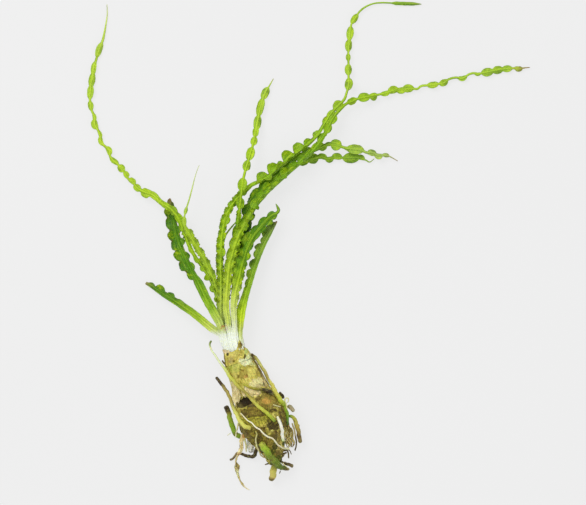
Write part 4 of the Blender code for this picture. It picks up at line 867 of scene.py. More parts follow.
leaf(
    "leaf_low_right",
    "leaf_green",
    route=[
        (233.6, 325.2, 10.4), (233.7, 320.5, 10.4), (234.6, 305.0, 10.4), (236.0, 288.0, 10.4),
        (238.8, 268.0, 10.2), (241.8, 250.0, 9.6), (245.0, 234.0, 8.2), (248.4, 220.0, 6.6),
        (253.0, 207.6, 5.2), (260.4, 197.6, 4.2), (270.6, 187.6, 3.6), (281.4, 177.6, 3.6),
        (291.4, 168.6, 3.5), (298.6, 163.4, 3.5), (305.0, 160.6, 3.5), (313.0, 158.4, 3.4),
        (321.0, 156.6, 3.3), (328.0, 158.2, 3.1), (336.0, 156.6, 2.9), (344.0, 157.8, 2.8),
        (352.0, 157.4, 2.6), (360.0, 157.4, 2.4), (366.0, 160.0, 2.1), (370.0, 161.8, 1.9),
        (374.5, 158.4, 1.5),
    ],
    blade=[
        (0.0, 1.6, 1.3, 2.2), (0.15, 1.8, 1.5, 1.8), (0.3, 1.9, 1.9, 1.7), (0.6, 1.7, 1.7, 1.6),
        (0.72, 1.3, 1.3, 1.5), (0.8, 0.9, 0.9, 1.2), (0.93, 0.7, 0.7, 0.9), (1.0, 0.2, 0.2, 0.3),
    ],
    stance=[(0.0, 90.0, 165.0), (1.0, 90.0, 168.0)],
    lobes=[
        (303.5, 161.4, 10, 3.4, 4.4), (313.0, 158.4, 11, 5.2, 5.4), (322.5, 156.6, 9, 3.6, 2.4),
        (329.8, 158.2, 8, 1.4, 4.6), (337.0, 156.6, 10, 3.8, 2.8), (351.5, 157.4, 17, 5.2, 5.6),
        (361.0, 157.8, 8, 3.2, 2.0),
    ],
    crisp=[(0.20, 0.34, 3.8, 0.6), (0.34, 0.70, 3.8, 0.9, -1)],
    stops=[
        (0, (205, 220, 140)), (0.06, (140, 178, 45)), (0.15, (92, 142, 12)), (0.4, (84, 136, 10)),
        (0.55, (110, 160, 16)), (0.75, (140, 182, 40)), (0.95, (136, 176, 50)), (1, (150, 168, 90)),
    ],
    dots=0.3,
    rib_light=0.1,
)
leaf(
    "leaf_centre",
    "leaf_green",
    route=[
        (227.4, 325.2, 13.4), (227.3, 320.5, 13.4), (226.7, 305.0, 13.0), (227.0, 285.0, 12.4),
        (229.0, 265.0, 12.0), (232.0, 250.0, 12.0), (235.2, 238.0, 12.2), (238.0, 225.0, 12.6),
        (239.2, 215.0, 13.2), (240.2, 205.0, 14.0), (241.3, 194.0, 15.0), (242.6, 184.0, 15.3),
        (244.6, 174.0, 14.6), (247.0, 165.0, 13.2), (250.6, 153.0, 10.8), (254.0, 141.0, 8.2),
        (256.8, 125.0, 5.4), (260.2, 107.0, 3.6), (264.8, 93.5, 2.7), (269.0, 86.0, 2.2),
        (273.6, 78.0, 1.6),
    ],
    blade=[
        (0.0, 1.8, 1.8, 2.3), (0.15, 1.6, 1.6, 2.0), (0.35, 1.8, 1.5, 1.9), (0.42, 1.2, 1.0, 1.7),
        (0.5, 0.8, 0.8, 1.4), (0.7, 0.8, 0.8, 1.2), (0.9, 0.9, 0.9, 1.1), (1.0, 0.2, 0.2, 0.3),
    ],
    stance=[(0.0, 90.0, 160.0), (1.0, 90.0, 168.0)],
    lobes=[
        (228.5, 253.5, 11, 4.6, 0), (231.0, 242.5, 10, 4.5, 0), (234.3, 231.0, 11, 4.3, 0),
        (237.4, 219.5, 11, 3.0, 0), (240.6, 203.5, 11, 4.2, 4.4), (242.6, 184.5, 13, 4.8, 4.8),
        (246.9, 165.4, 11, 4.2, 4.2), (250.4, 153.6, 14, 4.2, 4.4), (254.0, 141.4, 9, 3.6, 3.6),
        (255.6, 132.2, 9, 3.2, 3.3), (257.3, 122.0, 15, 3.8, 4.2), (260.4, 107.0, 18, 3.7, 3.9),
        (265.2, 92.8, 13, 3.9, 3.9),
    ],
    crisp=[(0.10, 0.44, 3.6, 0.8)],
    stops=[
        (0, (205, 220, 140)), (0.06, (165, 195, 70)), (0.15, (104, 154, 16)), (0.4, (104, 154, 14)),
        (0.48, (150, 190, 28)), (0.6, (164, 202, 36)), (0.75, (172, 208, 44)), (0.97, (168, 202, 64)),
        (1, (176, 170, 90)),
    ],
    dots=0.2,
)


# The short leaves at the right
# Two leaves from the right side of the neck end early, one with a hooked tip and one with a browned
# tip. A thin young leaf shows between the others.
leaf(
    "leaf_hooked",
    "leaf_green",
    route=[
        (235.2, 325.2, 17.2), (235.0, 320.5, 17.2), (234.2, 310.0, 17.0), (234.6, 300.0, 16.8),
        (236.2, 290.0, 16.5), (238.6, 280.0, 16.2), (240.9, 270.0, 15.9), (243.4, 260.0, 15.5),
        (246.4, 250.0, 15.0), (250.6, 241.0, 14.4), (255.2, 234.0, 13.9), (260.0, 228.0, 13.4),
        (264.6, 222.6, 13.0), (268.6, 218.0, 12.6), (272.6, 214.6, 12.3), (276.6, 213.0, 12.1),
        (278.6, 210.4, 12.0), (277.6, 207.2, 11.9), (275.8, 203.6, 11.8),
    ],
    blade=[
        (0.0, 2.0, 1.3, 2.4), (0.1, 2.2, 1.5, 2.5), (0.18, 2.2, 1.8, 2.5), (0.27, 2.6, 2.0, 2.5),
        (0.34, 3.8, 2.1, 2.4), (0.42, 4.5, 2.1, 2.4), (0.57, 4.6, 2.2, 2.3), (0.64, 4.0, 2.4, 2.2),
        (0.74, 2.8, 2.4, 2.0), (0.84, 1.6, 2.0, 1.6), (0.9, 0.9, 1.2, 1.2), (0.96, 0.9, 0.9, 0.9),
        (1.0, 0.2, 0.2, 0.3),
    ],
    stance=[(0.0, 90.0, 160.0), (1.0, 90.0, 155.0)],
    lobes=[
        (245.0, 255.5, 8, 0, 6.4), (248.6, 245.4, 8, 0, 5.0), (250.6, 241.0, 14, 8.4, 0),
        (255.4, 233.8, 9, 0, 5.0), (257.4, 231.4, 9, 6.4, 0), (260.8, 227.0, 9, 0, 6.0),
        (264.6, 222.6, 10, 5.8, 0), (267.0, 220.0, 9, 0, 6.6), (271.6, 215.4, 8, 4.0, 0),
        (272.6, 214.6, 8, 0, 5.4),
    ],
    crisp=[(0.14, 0.56, 3.6, 0.9, 1), (0.48, 0.62, 3.4, 0.4, -1)],
    sheath=(0.6, 2.2),
    stops=[
        (0, (230, 236, 190)), (0.06, (222, 232, 160)), (0.14, (218, 230, 134)), (0.22, (200, 220, 90)),
        (0.32, (164, 198, 34)), (0.42, (130, 176, 14)), (0.55, (98, 150, 8)), (0.85, (84, 138, 10)),
        (0.93, (124, 168, 36)), (1, (96, 138, 34)),
    ],
    dots=0.25,
    folds=0.8,
    pale=(316.0, 340.0),
)
leaf(
    "leaf_right_short",
    "leaf_dark",
    route=[
        (240.5, 325.2, 14.6), (240.7, 320.5, 14.6), (242.0, 310.0, 14.2), (244.4, 300.0, 13.4),
        (247.2, 290.0, 12.5), (250.3, 280.0, 11.8), (254.2, 268.0, 11.3), (258.6, 256.0, 10.6),
        (262.0, 248.5, 10.1), (265.8, 240.5, 9.5), (269.5, 234.0, 9.0), (273.2, 227.0, 8.6),
        (277.0, 221.0, 8.2),
    ],
    blade=[
        (0.0, 2.8, 1.9, 2.6), (0.06, 3.2, 2.3, 2.8), (0.14, 3.2, 2.4, 2.6), (0.26, 2.4, 2.1, 2.4),
        (0.34, 1.9, 2.0, 2.4), (0.6, 1.9, 1.7, 2.2), (0.85, 1.8, 1.3, 1.7), (0.96, 1.2, 0.9, 1.2),
        (1.0, 0.4, 0.4, 0.6),
    ],
    stance=[(0.0, 90.0, 160.0), (0.2, 104.0, 150.0), (1.0, 104.0, 146.0)],
    lobes=[
        (274.0, 225.4, 7, 4.6, 0), (271.6, 230.4, 8, 7.0, 0), (268.8, 235.6, 9, 8.0, 0),
        (265.6, 241.4, 7, 5.4, 0), (262.0, 248.6, 9, 7.8, 0), (259.2, 255.0, 8, 6.0, 0),
        (255.6, 264.6, 10, 6.6, 0), (252.2, 274.6, 9, 6.2, 0), (249.4, 283.4, 7, 4.6, 0),
        (247.4, 290.2, 5, 3.8, 0),
    ],
    sheath=(0.3, 1.6),
    stops=[
        (0, (208, 222, 96)), (0.04, (206, 226, 56)), (0.08, (200, 226, 40)), (0.16, (186, 218, 36)),
        (0.24, (158, 196, 30)), (0.35, (140, 180, 34)), (0.6, (130, 170, 46)), (0.85, (128, 164, 60)),
        (0.96, (130, 152, 78)), (1, (150, 100, 80)),
    ],
    dots=0.35,
    rib_light=0.05,
    folds=0.45,
    pale=(326.0, 350.0),
)
leaf(
    "leaf_thread",
    "leaf_green",
    route=[
        (229.2, 325.2, 6.2), (229.0, 320.5, 6.1), (226.0, 300.0, 5.6), (223.2, 280.0, 5.3),
        (221.6, 262.0, 5.3), (222.0, 248.0, 5.3), (224.4, 237.5, 5.4), (228.0, 231.4, 5.5),
        (232.4, 226.0, 5.6), (236.4, 221.6, 5.7), (240.5, 216.0, 5.9),
    ],
    blade=[(0.0, 1.2, 1.2, 1.5), (0.4, 1.1, 1.1, 1.3), (0.7, 0.7, 0.7, 0.9), (1.0, 0.3, 0.3, 0.4)],
    stops=[
        (0, (205, 220, 140)), (0.3, (176, 202, 70)), (0.6, (166, 196, 66)), (1, (158, 194, 66)),
    ],
    dots=0.0,
)

# The bulb
# The bulb is a long fleshy onion in thin dry skins, olive and tan. The skins are torn: paler layers show
# under the upper one, a dark hollow is left where roots broke away, and old root buds make knobs.

# A section runs from a point on the left edge to one on the right edge, and its last number is the height
# of its middle. The first two lie round the neck, for the skin that reaches up over it.
BULB_SECTIONS = [
    (220.4, 340.4, 244.4, 336.0, 12.4), (222.6, 346.6, 245.0, 341.8, 12.4),
    (224.5, 353.0, 246.0, 347.6, 12.4), (225.3, 362.0, 249.8, 353.8, 12.4),
    (227.0, 370.0, 254.8, 361.0, 12.4), (229.0, 378.0, 259.6, 369.0, 12.4),
    (232.0, 387.0, 264.2, 377.4, 12.4), (234.0, 396.0, 270.4, 386.8, 12.3),
    (235.5, 406.0, 278.0, 396.0, 12.3), (237.5, 416.0, 283.2, 406.4, 12.3),
    (240.0, 426.0, 285.4, 417.4, 12.3), (244.5, 435.4, 285.0, 428.3, 12.2),
    (251.0, 442.8, 284.4, 438.4, 11.4), (258.4, 450.6, 284.4, 447.6, 10.2),
    (264.6, 457.4, 282.0, 455.8, 9.2), (268.6, 463.4, 280.4, 462.8, 8.6),
    (274.4, 467.0, 275.0, 467.0, 8.4),
]
BULB_DEPTH = 0.97  # thickness over width
BODY_START = 2.35  # the section where the bulb's own body starts
BODY_STOP = len(BULB_SECTIONS) - 1.0


def read_rows(rows, at):
    """A table joined by a smooth curve and read at places that count its rows."""
    rows = np.array(rows)
    last = len(rows) - 1
    at = np.clip(at, 0.0, last)
    i = np.minimum(at.astype(int), last - 1)
    before, after = rows[np.maximum(i - 1, 0)], rows[np.minimum(i + 2, last)]
    return spline(before, rows[i], rows[i + 1], after, (at - i)[..., None])


def dome(points, across, down, long, wide, turn):
    """1 at the middle of an ellipse of the photograph and 0 outside it, smooth between."""
    middle = spot(across, down)
    x, y = points[..., 0] - middle[0], points[..., 1] - middle[1]
    c, s = math.cos(math.radians(turn)), math.sin(math.radians(turn))
    apart = np.hypot((x * c + y * s) / (long * PIXEL), (y * c - x * s) / (wide * PIXEL))
    return 0.5 + 0.5 * np.cos(math.pi * np.minimum(apart, 1.0))


def rough_field(first, second, seed):
    """Smooth random values from about -1 to 1 over two grids of coordinates."""
    values = [noise.noise(Vector((u, v, seed))) for u, v in zip(first.ravel(), second.ravel())]
    return np.array(values).reshape(first.shape) * 1.6


# The bulb's forms, as ellipses of the photograph: middle, half axes, turn, and height in millimetres
BULB_FORMS = [
    (247.0, 401.6, 12.0, 6.6, -14, -2.6), (243.0, 404.0, 6.0, 4.0, 0, -0.8),
    (267.5, 402.5, 11.0, 9.0, 30, 1.5), (268.0, 443.8, 7.5, 7.0, 0, 1.5),
    (253.0, 385.0, 9.0, 6.0, 20, 0.6), (262.0, 380.0, 8.0, 6.0, -40, 0.5),
    (255.0, 414.0, 12.0, 6.0, 15, 0.7), (262.0, 423.0, 8.0, 5.0, 30, 0.6),
    (273.0, 424.0, 9.0, 8.0, 60, -1.0), (248.0, 431.0, 9.0, 6.0, -30, 0.6),
    (257.0, 437.0, 5.0, 8.0, 20, -0.7), (279.0, 436.0, 5.0, 9.0, 0, -0.8),
    (274.0, 458.0, 6.0, 8.0, 20, 0.9), (241.0, 373.0, 6.0, 5.0, 0, -0.4),
    (246.5, 356.0, 1.6, 4.0, 10, -0.6), (250.0, 365.6, 4.0, 1.8, -20, -0.5),
]

# Its wrinkles: height and length round the bulb in millimetres, how many to a section, and a seed.
# The last kind shows low on the bulb only.
BULB_WRINKLES = [(0.32, 5.0, 0.9, 3.1), (0.17, 1.1, 0.35, 8.4), (0.08, 0.5, 0.9, 5.7)]
LOW_WRINKLES = (0.22, 2.0, 2.4, 1.7)
LOW_START, LOW_FULL = 7.0, 10.0  # the sections where the low wrinkles start and are at their full height


def bulb_surface(level, turn, lift):
    """Points on the bulb at sections (level) and angles (turn), lifted off it by millimetres. Angle 0 is
    at the right, a quarter turn is up. The last result is the relief in millimetres."""
    rows = read_rows(BULB_SECTIONS, level)
    left = spot(rows[..., 0], rows[..., 1], rows[..., 4])
    right = spot(rows[..., 2], rows[..., 3], rows[..., 4])
    middle, half = (left + right) / 2, (right - left) / 2
    size = np.linalg.norm(half, axis=-1)[..., None]
    c, s = np.cos(turn)[..., None], np.sin(turn)[..., None]
    outward = half / size * c + np.array((0.0, 0.0, 1.0)) * s
    base = middle + half * c + np.array((0.0, 0.0, BULB_DEPTH)) * size * s
    round_mm = turn * size[..., 0] / MM
    relief = np.zeros_like(round_mm)
    for height, length, rate, seed in BULB_WRINKLES:
        relief += height * rough_field(round_mm / length, level * rate, seed)
    height, length, rate, seed = LOW_WRINKLES
    low = np.clip((level - LOW_START) / (LOW_FULL - LOW_START), 0.0, 1.0)
    relief += height * rough_field(round_mm / length, level * rate, seed) * low
    facing = np.clip(np.sin(turn) * 2.5 - 0.3, 0.0, 1.0)
    for across, down, long, wide, angle, height in BULB_FORMS:
        relief += height * dome(base, across, down, long, wide, angle) * facing
    relief *= np.clip((BODY_STOP - level) / 0.6, 0.0, 1.0)
    points = base + outward * ((relief + lift) * MM)[..., None]
    points[..., 2] = np.maximum(points[..., 2], 0.0)
    return points, relief


def grid_of(first, second):
    """Two tables that hold every pair of the two lists."""
    return np.meshgrid(first, second, indexing="ij")


SECTION_LONG = 5.6  # millimetres along the bulb from one section to the next, for its fibres
BULB_ROUND = 13.0  # millimetres round the bulb to one radian, for its fibres and tears
BULB_ROWS, BULB_COLUMNS = 190, 168
level, turn = grid_of(
    np.linspace(BODY_START, BODY_STOP, BULB_ROWS),
    np.linspace(0.0, 2 * math.pi, BULB_COLUMNS, endpoint=False),
)
rings, relief = bulb_surface(level, turn, np.zeros_like(level))
rings[-1] = rings[-1].mean(axis=0)
layers = {
    "growth": np.stack([level / BODY_STOP, turn / (2 * math.pi), relief / 4 + 0.5], axis=-1),
    "weave": np.stack([level * SECTION_LONG, turn * BULB_ROUND, relief], axis=-1),
}
bulb_skins = loft("bulb_skins", rings, layers)
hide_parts("bulb")


# The patches of colour, as ellipses of the photograph: middle, half axes, turn, colour, strength. The
# first list is the end at the neck, the second the upper half, and the third the torn lower half, where
# the darkest patches also hold painted shade in the hollow and down the right side.
NECK_END_PATCHES = [
    (226.0, 351.5, 3.4, 2.2, 0, (222, 202, 156), 0.9),
    (235.0, 353.8, 5.0, 2.6, 0, (214, 200, 104), 0.85), (227.6, 354.0, 1.5, 1.6, 0, (58, 44, 10), 0.95),
    (232.0, 357.5, 3.0, 3.6, 30, (196, 178, 90), 0.7),
    (224.8, 361.0, 1.3, 6.5, 5, (128, 106, 40), 0.85), (226.7, 361.0, 0.8, 5.5, 3, (196, 182, 74), 0.8),
    (228.2, 361.0, 0.6, 5.0, 3, (138, 120, 40), 0.75), (231.0, 360.2, 2.4, 3.0, 0, (186, 168, 98), 0.8),
    (234.2, 360.6, 1.4, 1.2, 20, (120, 102, 24), 0.9),
    (237.8, 357.0, 1.0, 3.0, -30, (156, 136, 46), 0.6),
    (241.6, 352.6, 0.9, 3.6, 10, (146, 126, 40), 0.4),
    (246.2, 351.6, 1.6, 4.2, -8, (186, 206, 112), 0.7),
    (248.8, 358.4, 3.6, 6.4, -25, (226, 232, 168), 0.75),
    (245.6, 361.4, 7.0, 3.2, -8, (238, 242, 190), 0.8),
    (244.9, 355.8, 0.9, 2.6, -10, (102, 84, 16), 0.95),
]
UPPER_PATCHES = [
    (253.0, 364.0, 3.4, 2.6, 10, (220, 222, 138), 0.85),
    (251.0, 366.4, 3.0, 0.9, -28, (142, 130, 32), 0.95),
    (235.6, 367.0, 6.0, 5.4, 0, (176, 182, 82), 0.65),
    (230.0, 367.6, 3.4, 2.6, -40, (160, 168, 50), 0.7),
    (252.6, 371.0, 5.6, 4.6, 0, (212, 200, 98), 0.9),
    (243.4, 374.2, 5.0, 4.6, 15, (156, 140, 56), 0.85),
    (241.8, 369.6, 2.6, 0.9, -20, (128, 110, 28), 0.85),
    (247.6, 375.4, 0.9, 2.2, 25, (114, 92, 22), 0.85),
    (238.6, 376.0, 2.8, 1.0, 55, (126, 108, 28), 0.8), (246.0, 376.6, 2.2, 1.6, 0, (212, 140, 76), 0.4),
    (257.8, 373.4, 1.4, 3.4, 30, (166, 150, 60), 0.7),
    (261.6, 374.6, 1.0, 4.0, -30, (138, 120, 66), 0.7),
    (258.6, 369.0, 0.8, 3.6, -30, (128, 108, 50), 0.6),
    (257.0, 382.4, 8.6, 4.6, 14, (224, 212, 146), 0.95),
    (264.4, 382.6, 2.0, 3.6, -10, (206, 192, 140), 0.8),
    (252.0, 391.4, 9.6, 3.8, 12, (214, 202, 130), 0.92),
    (256.6, 393.6, 3.6, 2.0, 15, (224, 210, 148), 0.8),
    (237.4, 393.6, 3.2, 6.0, 5, (220, 206, 150), 0.95),
    (233.4, 386.0, 2.6, 4.6, 20, (226, 214, 176), 0.9),
    (242.0, 391.0, 2.0, 3.4, 20, (174, 156, 76), 0.7),
]
LOWER_PATCHES = [
    # The first two paint the shade in the hollow where roots broke away.
    (247.4, 401.0, 7.4, 5.2, 8, (44, 34, 12), 1.0), (241.0, 405.0, 4.0, 3.0, 0, (60, 48, 20), 0.9),
    (254.6, 405.6, 5.0, 2.6, 0, (84, 68, 36), 0.9), (252.0, 405.0, 3.0, 2.0, 0, (110, 90, 54), 0.7),
    (268.0, 402.0, 12.0, 9.5, 30, (104, 90, 28), 0.8), (258.5, 397.4, 4.0, 2.4, 20, (96, 80, 28), 0.85),
    (266.0, 393.0, 5.0, 3.0, 20, (130, 114, 46), 0.8),
    (268.0, 401.0, 8.6, 6.4, 25, (152, 132, 52), 0.95),
    (266.4, 400.2, 5.0, 2.8, -20, (192, 150, 68), 0.95),
    (272.4, 410.0, 5.4, 1.8, 10, (74, 58, 12), 0.9), (266.0, 414.6, 7.0, 1.8, -42, (84, 70, 18), 0.9),
    (255.0, 417.0, 15.0, 9.0, 10, (158, 152, 40), 0.85),
    (262.0, 421.0, 6.0, 4.0, 30, (174, 168, 54), 0.7), (247.0, 411.0, 7.0, 2.4, -20, (92, 80, 20), 0.8),
    # The two dark patches here, and the one at (275, 436) below, are darker brown skin with painted shade
    # over it down the right side.
    (274.0, 424.0, 6.0, 7.0, 30, (58, 46, 18), 0.95), (283.0, 418.0, 2.4, 11.0, 0, (62, 48, 14), 0.95),
    (249.0, 432.0, 11.0, 8.0, -30, (118, 104, 34), 0.85),
    (262.0, 432.0, 8.0, 5.0, -30, (132, 124, 28), 0.8), (275.0, 436.0, 4.0, 7.0, 0, (90, 74, 26), 0.9),
    (278.8, 441.0, 1.8, 11.0, 0, (176, 158, 84), 0.9),
    (268.8, 442.6, 5.0, 5.4, 0, (152, 132, 48), 0.95), (262.6, 437.8, 6.0, 1.6, 0, (70, 58, 16), 0.9),
    (275.0, 446.4, 2.6, 4.4, 0, (70, 74, 18), 0.9), (260.0, 447.0, 3.0, 7.0, 15, (74, 62, 22), 0.85),
    (275.0, 458.6, 8.0, 8.6, 20, (92, 102, 18), 0.95), (274.0, 454.4, 4.0, 1.6, 0, (160, 146, 60), 0.8),
    (280.6, 451.6, 4.6, 3.2, 0, (138, 120, 58), 0.9), (283.6, 443.4, 1.8, 2.6, 0, (50, 74, 16), 0.9),
    (282.4, 447.0, 2.6, 1.4, 0, (208, 192, 112), 0.9),
]


def patched(paint, where, colour, uneven, patches):
    """The colour with patches over it, one after the other."""
    for across, down, long, wide, turn, shade, strength in patches:
        inside = patch(paint, where, uneven, across, down, long, wide, turn)
        colour = paint.mix(inside * strength, colour, tone(*shade))
    return colour


DRY_TISSUE = {"Subsurface Weight": 0.06, "Subsurface Scale": 0.8 * MM, "Specular IOR Level": 0.25}
STRAW = tone(176, 166, 56)
# A dark soil brown, used for real dark blots and specks and also for painted shade in the creases.
SOIL_AND_SHADE = tone(70, 56, 10)


def dry_skin(name, tint, patches=(), grime_and_crease_shade=1.0):
    """Dry onion skin: fibres along the bulb, light and dark mottling that is stronger low on the bulb, dark
    specks, painted shade in its thin creases, a painted highlight where its relief stands up, and the
    patches of a list."""
    paint = Paint(name, DRY_TISSUE)
    where = paint.object_place()
    low, _, relief_for_light = paint.attribute("growth")
    blotched = paint.fade(low, 0.46, 0.60)
    along, away, _ = paint.attribute("weave")
    thread = paint.noise(1.3, 3.0, paint.point(along * 0.12, away * 1.1), 0.6)
    wrinkle = paint.noise(1.0, 3.0, paint.point(along * 0.30, away * 0.55, 3.0), 0.8)
    cloud = paint.noise(300.0, 3.0, where)
    mottle = paint.noise(640.0, 3.0, where)
    grain = paint.noise(1500.0, 2.0, where)
    colour = paint.ramp(cloud * 0.6 + thread * 0.4, tint)
    uneven = (mottle - 0.5) * 1.5 + (cloud - 0.5) * 0.8
    colour = patched(paint, where, colour, uneven, patches)
    crease = paint.maths("ABSOLUTE", wrinkle - 0.5)
    blot = paint.noise(520.0, 5.0, where, 0.5)
    colour = paint.mix(blotched * paint.fade(blot, 0.54, 0.62) * 0.55, colour, STRAW)
    # The darker colour serves the real blots and specks and the painted shade in the creases.
    deepened = paint.mix(0.55, colour, SOIL_AND_SHADE)
    colour = paint.mix(blotched * paint.fade(blot, 0.49, 0.42) * 0.75, colour, deepened)
    grime_and_crease_shade = grime_and_crease_shade * (0.3 + blotched * 0.7)
    # Painted shade in the thin creases of the skin; the mottle and grain specks below are its own colour.
    colour = paint.mix(paint.fade(crease, 0.03, 0.0) * 0.8 * grime_and_crease_shade, colour, deepened)
    colour = paint.mix(paint.fade(mottle, 0.46, 0.36) * 0.5 * grime_and_crease_shade, colour, deepened)
    colour = paint.mix(paint.fade(grain, 0.56, 0.68) * 0.7 * grime_and_crease_shade, colour, deepened)
    # Brightness: random from the cloud, mottle and grain, plus a painted highlight where the relief stands
    # up.
    light = 0.50 + cloud * 0.42 + mottle * 0.46 + grain * 0.16 + paint.fade(relief_for_light, 0.2, 0.62) * 0.12
    colour = paint.shaded(colour, light)
    relief = thread * 0.6 + wrinkle * 1.1 + mottle * 1.2 - paint.fade(crease, 0.06, 0.0) * 0.5
    return paint.surface(colour, 0.5 + cloud * 0.3, relief, 0.8 * MM, 0.8)


OLIVE_TINT = [
    (0.3, (158, 144, 44)), (0.45, (194, 182, 78)), (0.58, (210, 198, 100)), (0.72, (224, 214, 138)),
]
PALE_TINT = [(0.3, (176, 158, 88)), (0.5, (212, 194, 134)), (0.7, (230, 218, 172))]
DARK_TINT = [(0.3, (58, 46, 14)), (0.5, (112, 96, 30)), (0.7, (164, 148, 54))]

bulb_patches = NECK_END_PATCHES + UPPER_PATCHES + LOWER_PATCHES
bulb_skins.data.materials.append(dry_skin("bulb_skin_torn", OLIVE_TINT, bulb_patches))


# The torn skins
# Loose layers of the same dry skin stand off the bulb: the collar round the neck, the torn edge of the
# upper layer, and scraps beside and under it. Each is attached along one edge and free at the other.

SHEET_THICK = 0.14 * MM
RAGGED_WITHIN = 12.0  # degrees from its two ends where a flap's edge is ragged


def sheet(name, points, layers, thick=SHEET_THICK):
    """A thin closed skin under a grid of points. It thins out to nothing at its four edges."""
    rows, columns = points.shape[:2]
    normal = np.cross(np.gradient(points, axis=0), np.gradient(points, axis=1))
    normal /= np.maximum(np.linalg.norm(normal, axis=-1), 1e-12)[..., None]
    across = np.minimum(np.arange(columns), np.arange(columns)[::-1])
    down = np.minimum(np.arange(rows), np.arange(rows)[::-1])
    body = np.minimum(np.minimum(across[None, :], down[:, None]) / 2.0, 1.0)
    under = points + normal * (body * thick)[..., None]
    rings = np.concatenate([points, under[:, ::-1]], axis=1)
    doubled = {key: np.concatenate([value, value[:, ::-1]], axis=1) for key, value in layers.items()}
    return loft(name, rings, doubled)


def flap(name, edges, lift, tint, patches, jag, seed, columns, rows):
    """A loose skin on the bulb. Edges hold (turn in degrees, level where it is attached, level of its
    free edge), and lift holds (share of the way to the free edge, millimetres off the bulb)."""
    first, final = edges[0][0], edges[-1][0]
    share, side = grid_of(np.linspace(0.0, 1.0, rows), np.linspace(first, final, columns))
    start, stop = table(edges, side)
    round_mm = np.radians(side) * BULB_ROUND
    tear = 0.6 * rough_field(round_mm / 2.6, share * 0.0, seed)
    tear += 0.4 * rough_field(round_mm / 0.8, share * 0.0, seed + 4)
    level = start + (stop + jag * tear - start) * share
    (raised,) = table(lift, share)
    raised = raised * (1.0 + 0.7 * rough_field(round_mm / 3.0, share * 1.5, seed + 9)) + 0.12
    edge_jag = 0.05 * rough_field(level * 2.4, share * 0.0, seed + 2)
    ends = np.minimum(side - first, final - side)
    turn = np.radians(side) + edge_jag * (ends < RAGGED_WITHIN)
    points, relief = bulb_surface(level, turn, np.maximum(raised, 0.1))
    layers = {
        "growth": np.stack([level / BODY_STOP, turn / (2 * math.pi), relief / 4 + 0.5], axis=-1),
        "weave": np.stack([level * SECTION_LONG + seed * 7, turn * BULB_ROUND, share], axis=-1),
    }
    piece = sheet(name, points, layers)
    piece.data.materials.append(dry_skin(name + "_skin", tint, patches))


COLLAR_ROOT = 3.6  # the level where the collar is attached
COLLAR_TOP = [
    (-88, 2.1), (-60, 1.7), (-30, 2.2), (0, 2.1), (22, 2.1), (40, 1.6), (50, 1.1), (56, 0.6), (61, 0.5),
    (67, 0.8), (73, 1.4), (81, 1.9), (110, 2.08), (121, 1.74), (141, 1.5), (162, 1.46), (176, 1.6),
    (200, 1.4), (230, 1.9), (250, 1.5), (268, 1.8),
]
COLLAR_EDGE = [(side, COLLAR_ROOT, top) for side, top in COLLAR_TOP]
COLLAR_LIFT = [(0.0, 0.0), (0.5, 0.22), (1.0, 0.5)]
COLLAR_PATCHES = [
    (239.2, 346.0, 2.0, 4.0, 0, (176, 160, 70), 0.8), (242.8, 345.0, 2.6, 4.4, 20, (136, 114, 40), 0.9),
    (242.0, 341.6, 2.4, 2.0, 0, (120, 98, 40), 0.8),
    *NECK_END_PATCHES,
]
flap("skin_collar", COLLAR_EDGE, COLLAR_LIFT, OLIVE_TINT, COLLAR_PATCHES, 0.06, 2.0, 240, 26)

UPPER_EDGE = [
    (-84, 4.0, 7.4), (-50, 4.0, 6.6), (-20, 4.0, 7.2), (8, 4.0, 6.2), (20, 4.0, 6.0), (32, 4.2, 6.25),
    (44, 4.2, 6.55), (60, 4.2, 6.35), (76, 4.2, 6.7), (90, 4.2, 6.5), (104, 4.2, 6.2), (118, 4.2, 6.6),
    (132, 4.2, 6.35), (150, 4.0, 6.9), (170, 4.0, 7.4), (200, 4.0, 6.6), (235, 4.0, 7.6),
    (266, 4.0, 6.8),
]
UPPER_LIFT = [(0.0, 0.0), (0.7, 0.12), (1.0, 0.4)]
skin_patches = NECK_END_PATCHES + UPPER_PATCHES
flap("skin_upper", UPPER_EDGE, UPPER_LIFT, OLIVE_TINT, skin_patches, 0.30, 5.0, 260, 40)

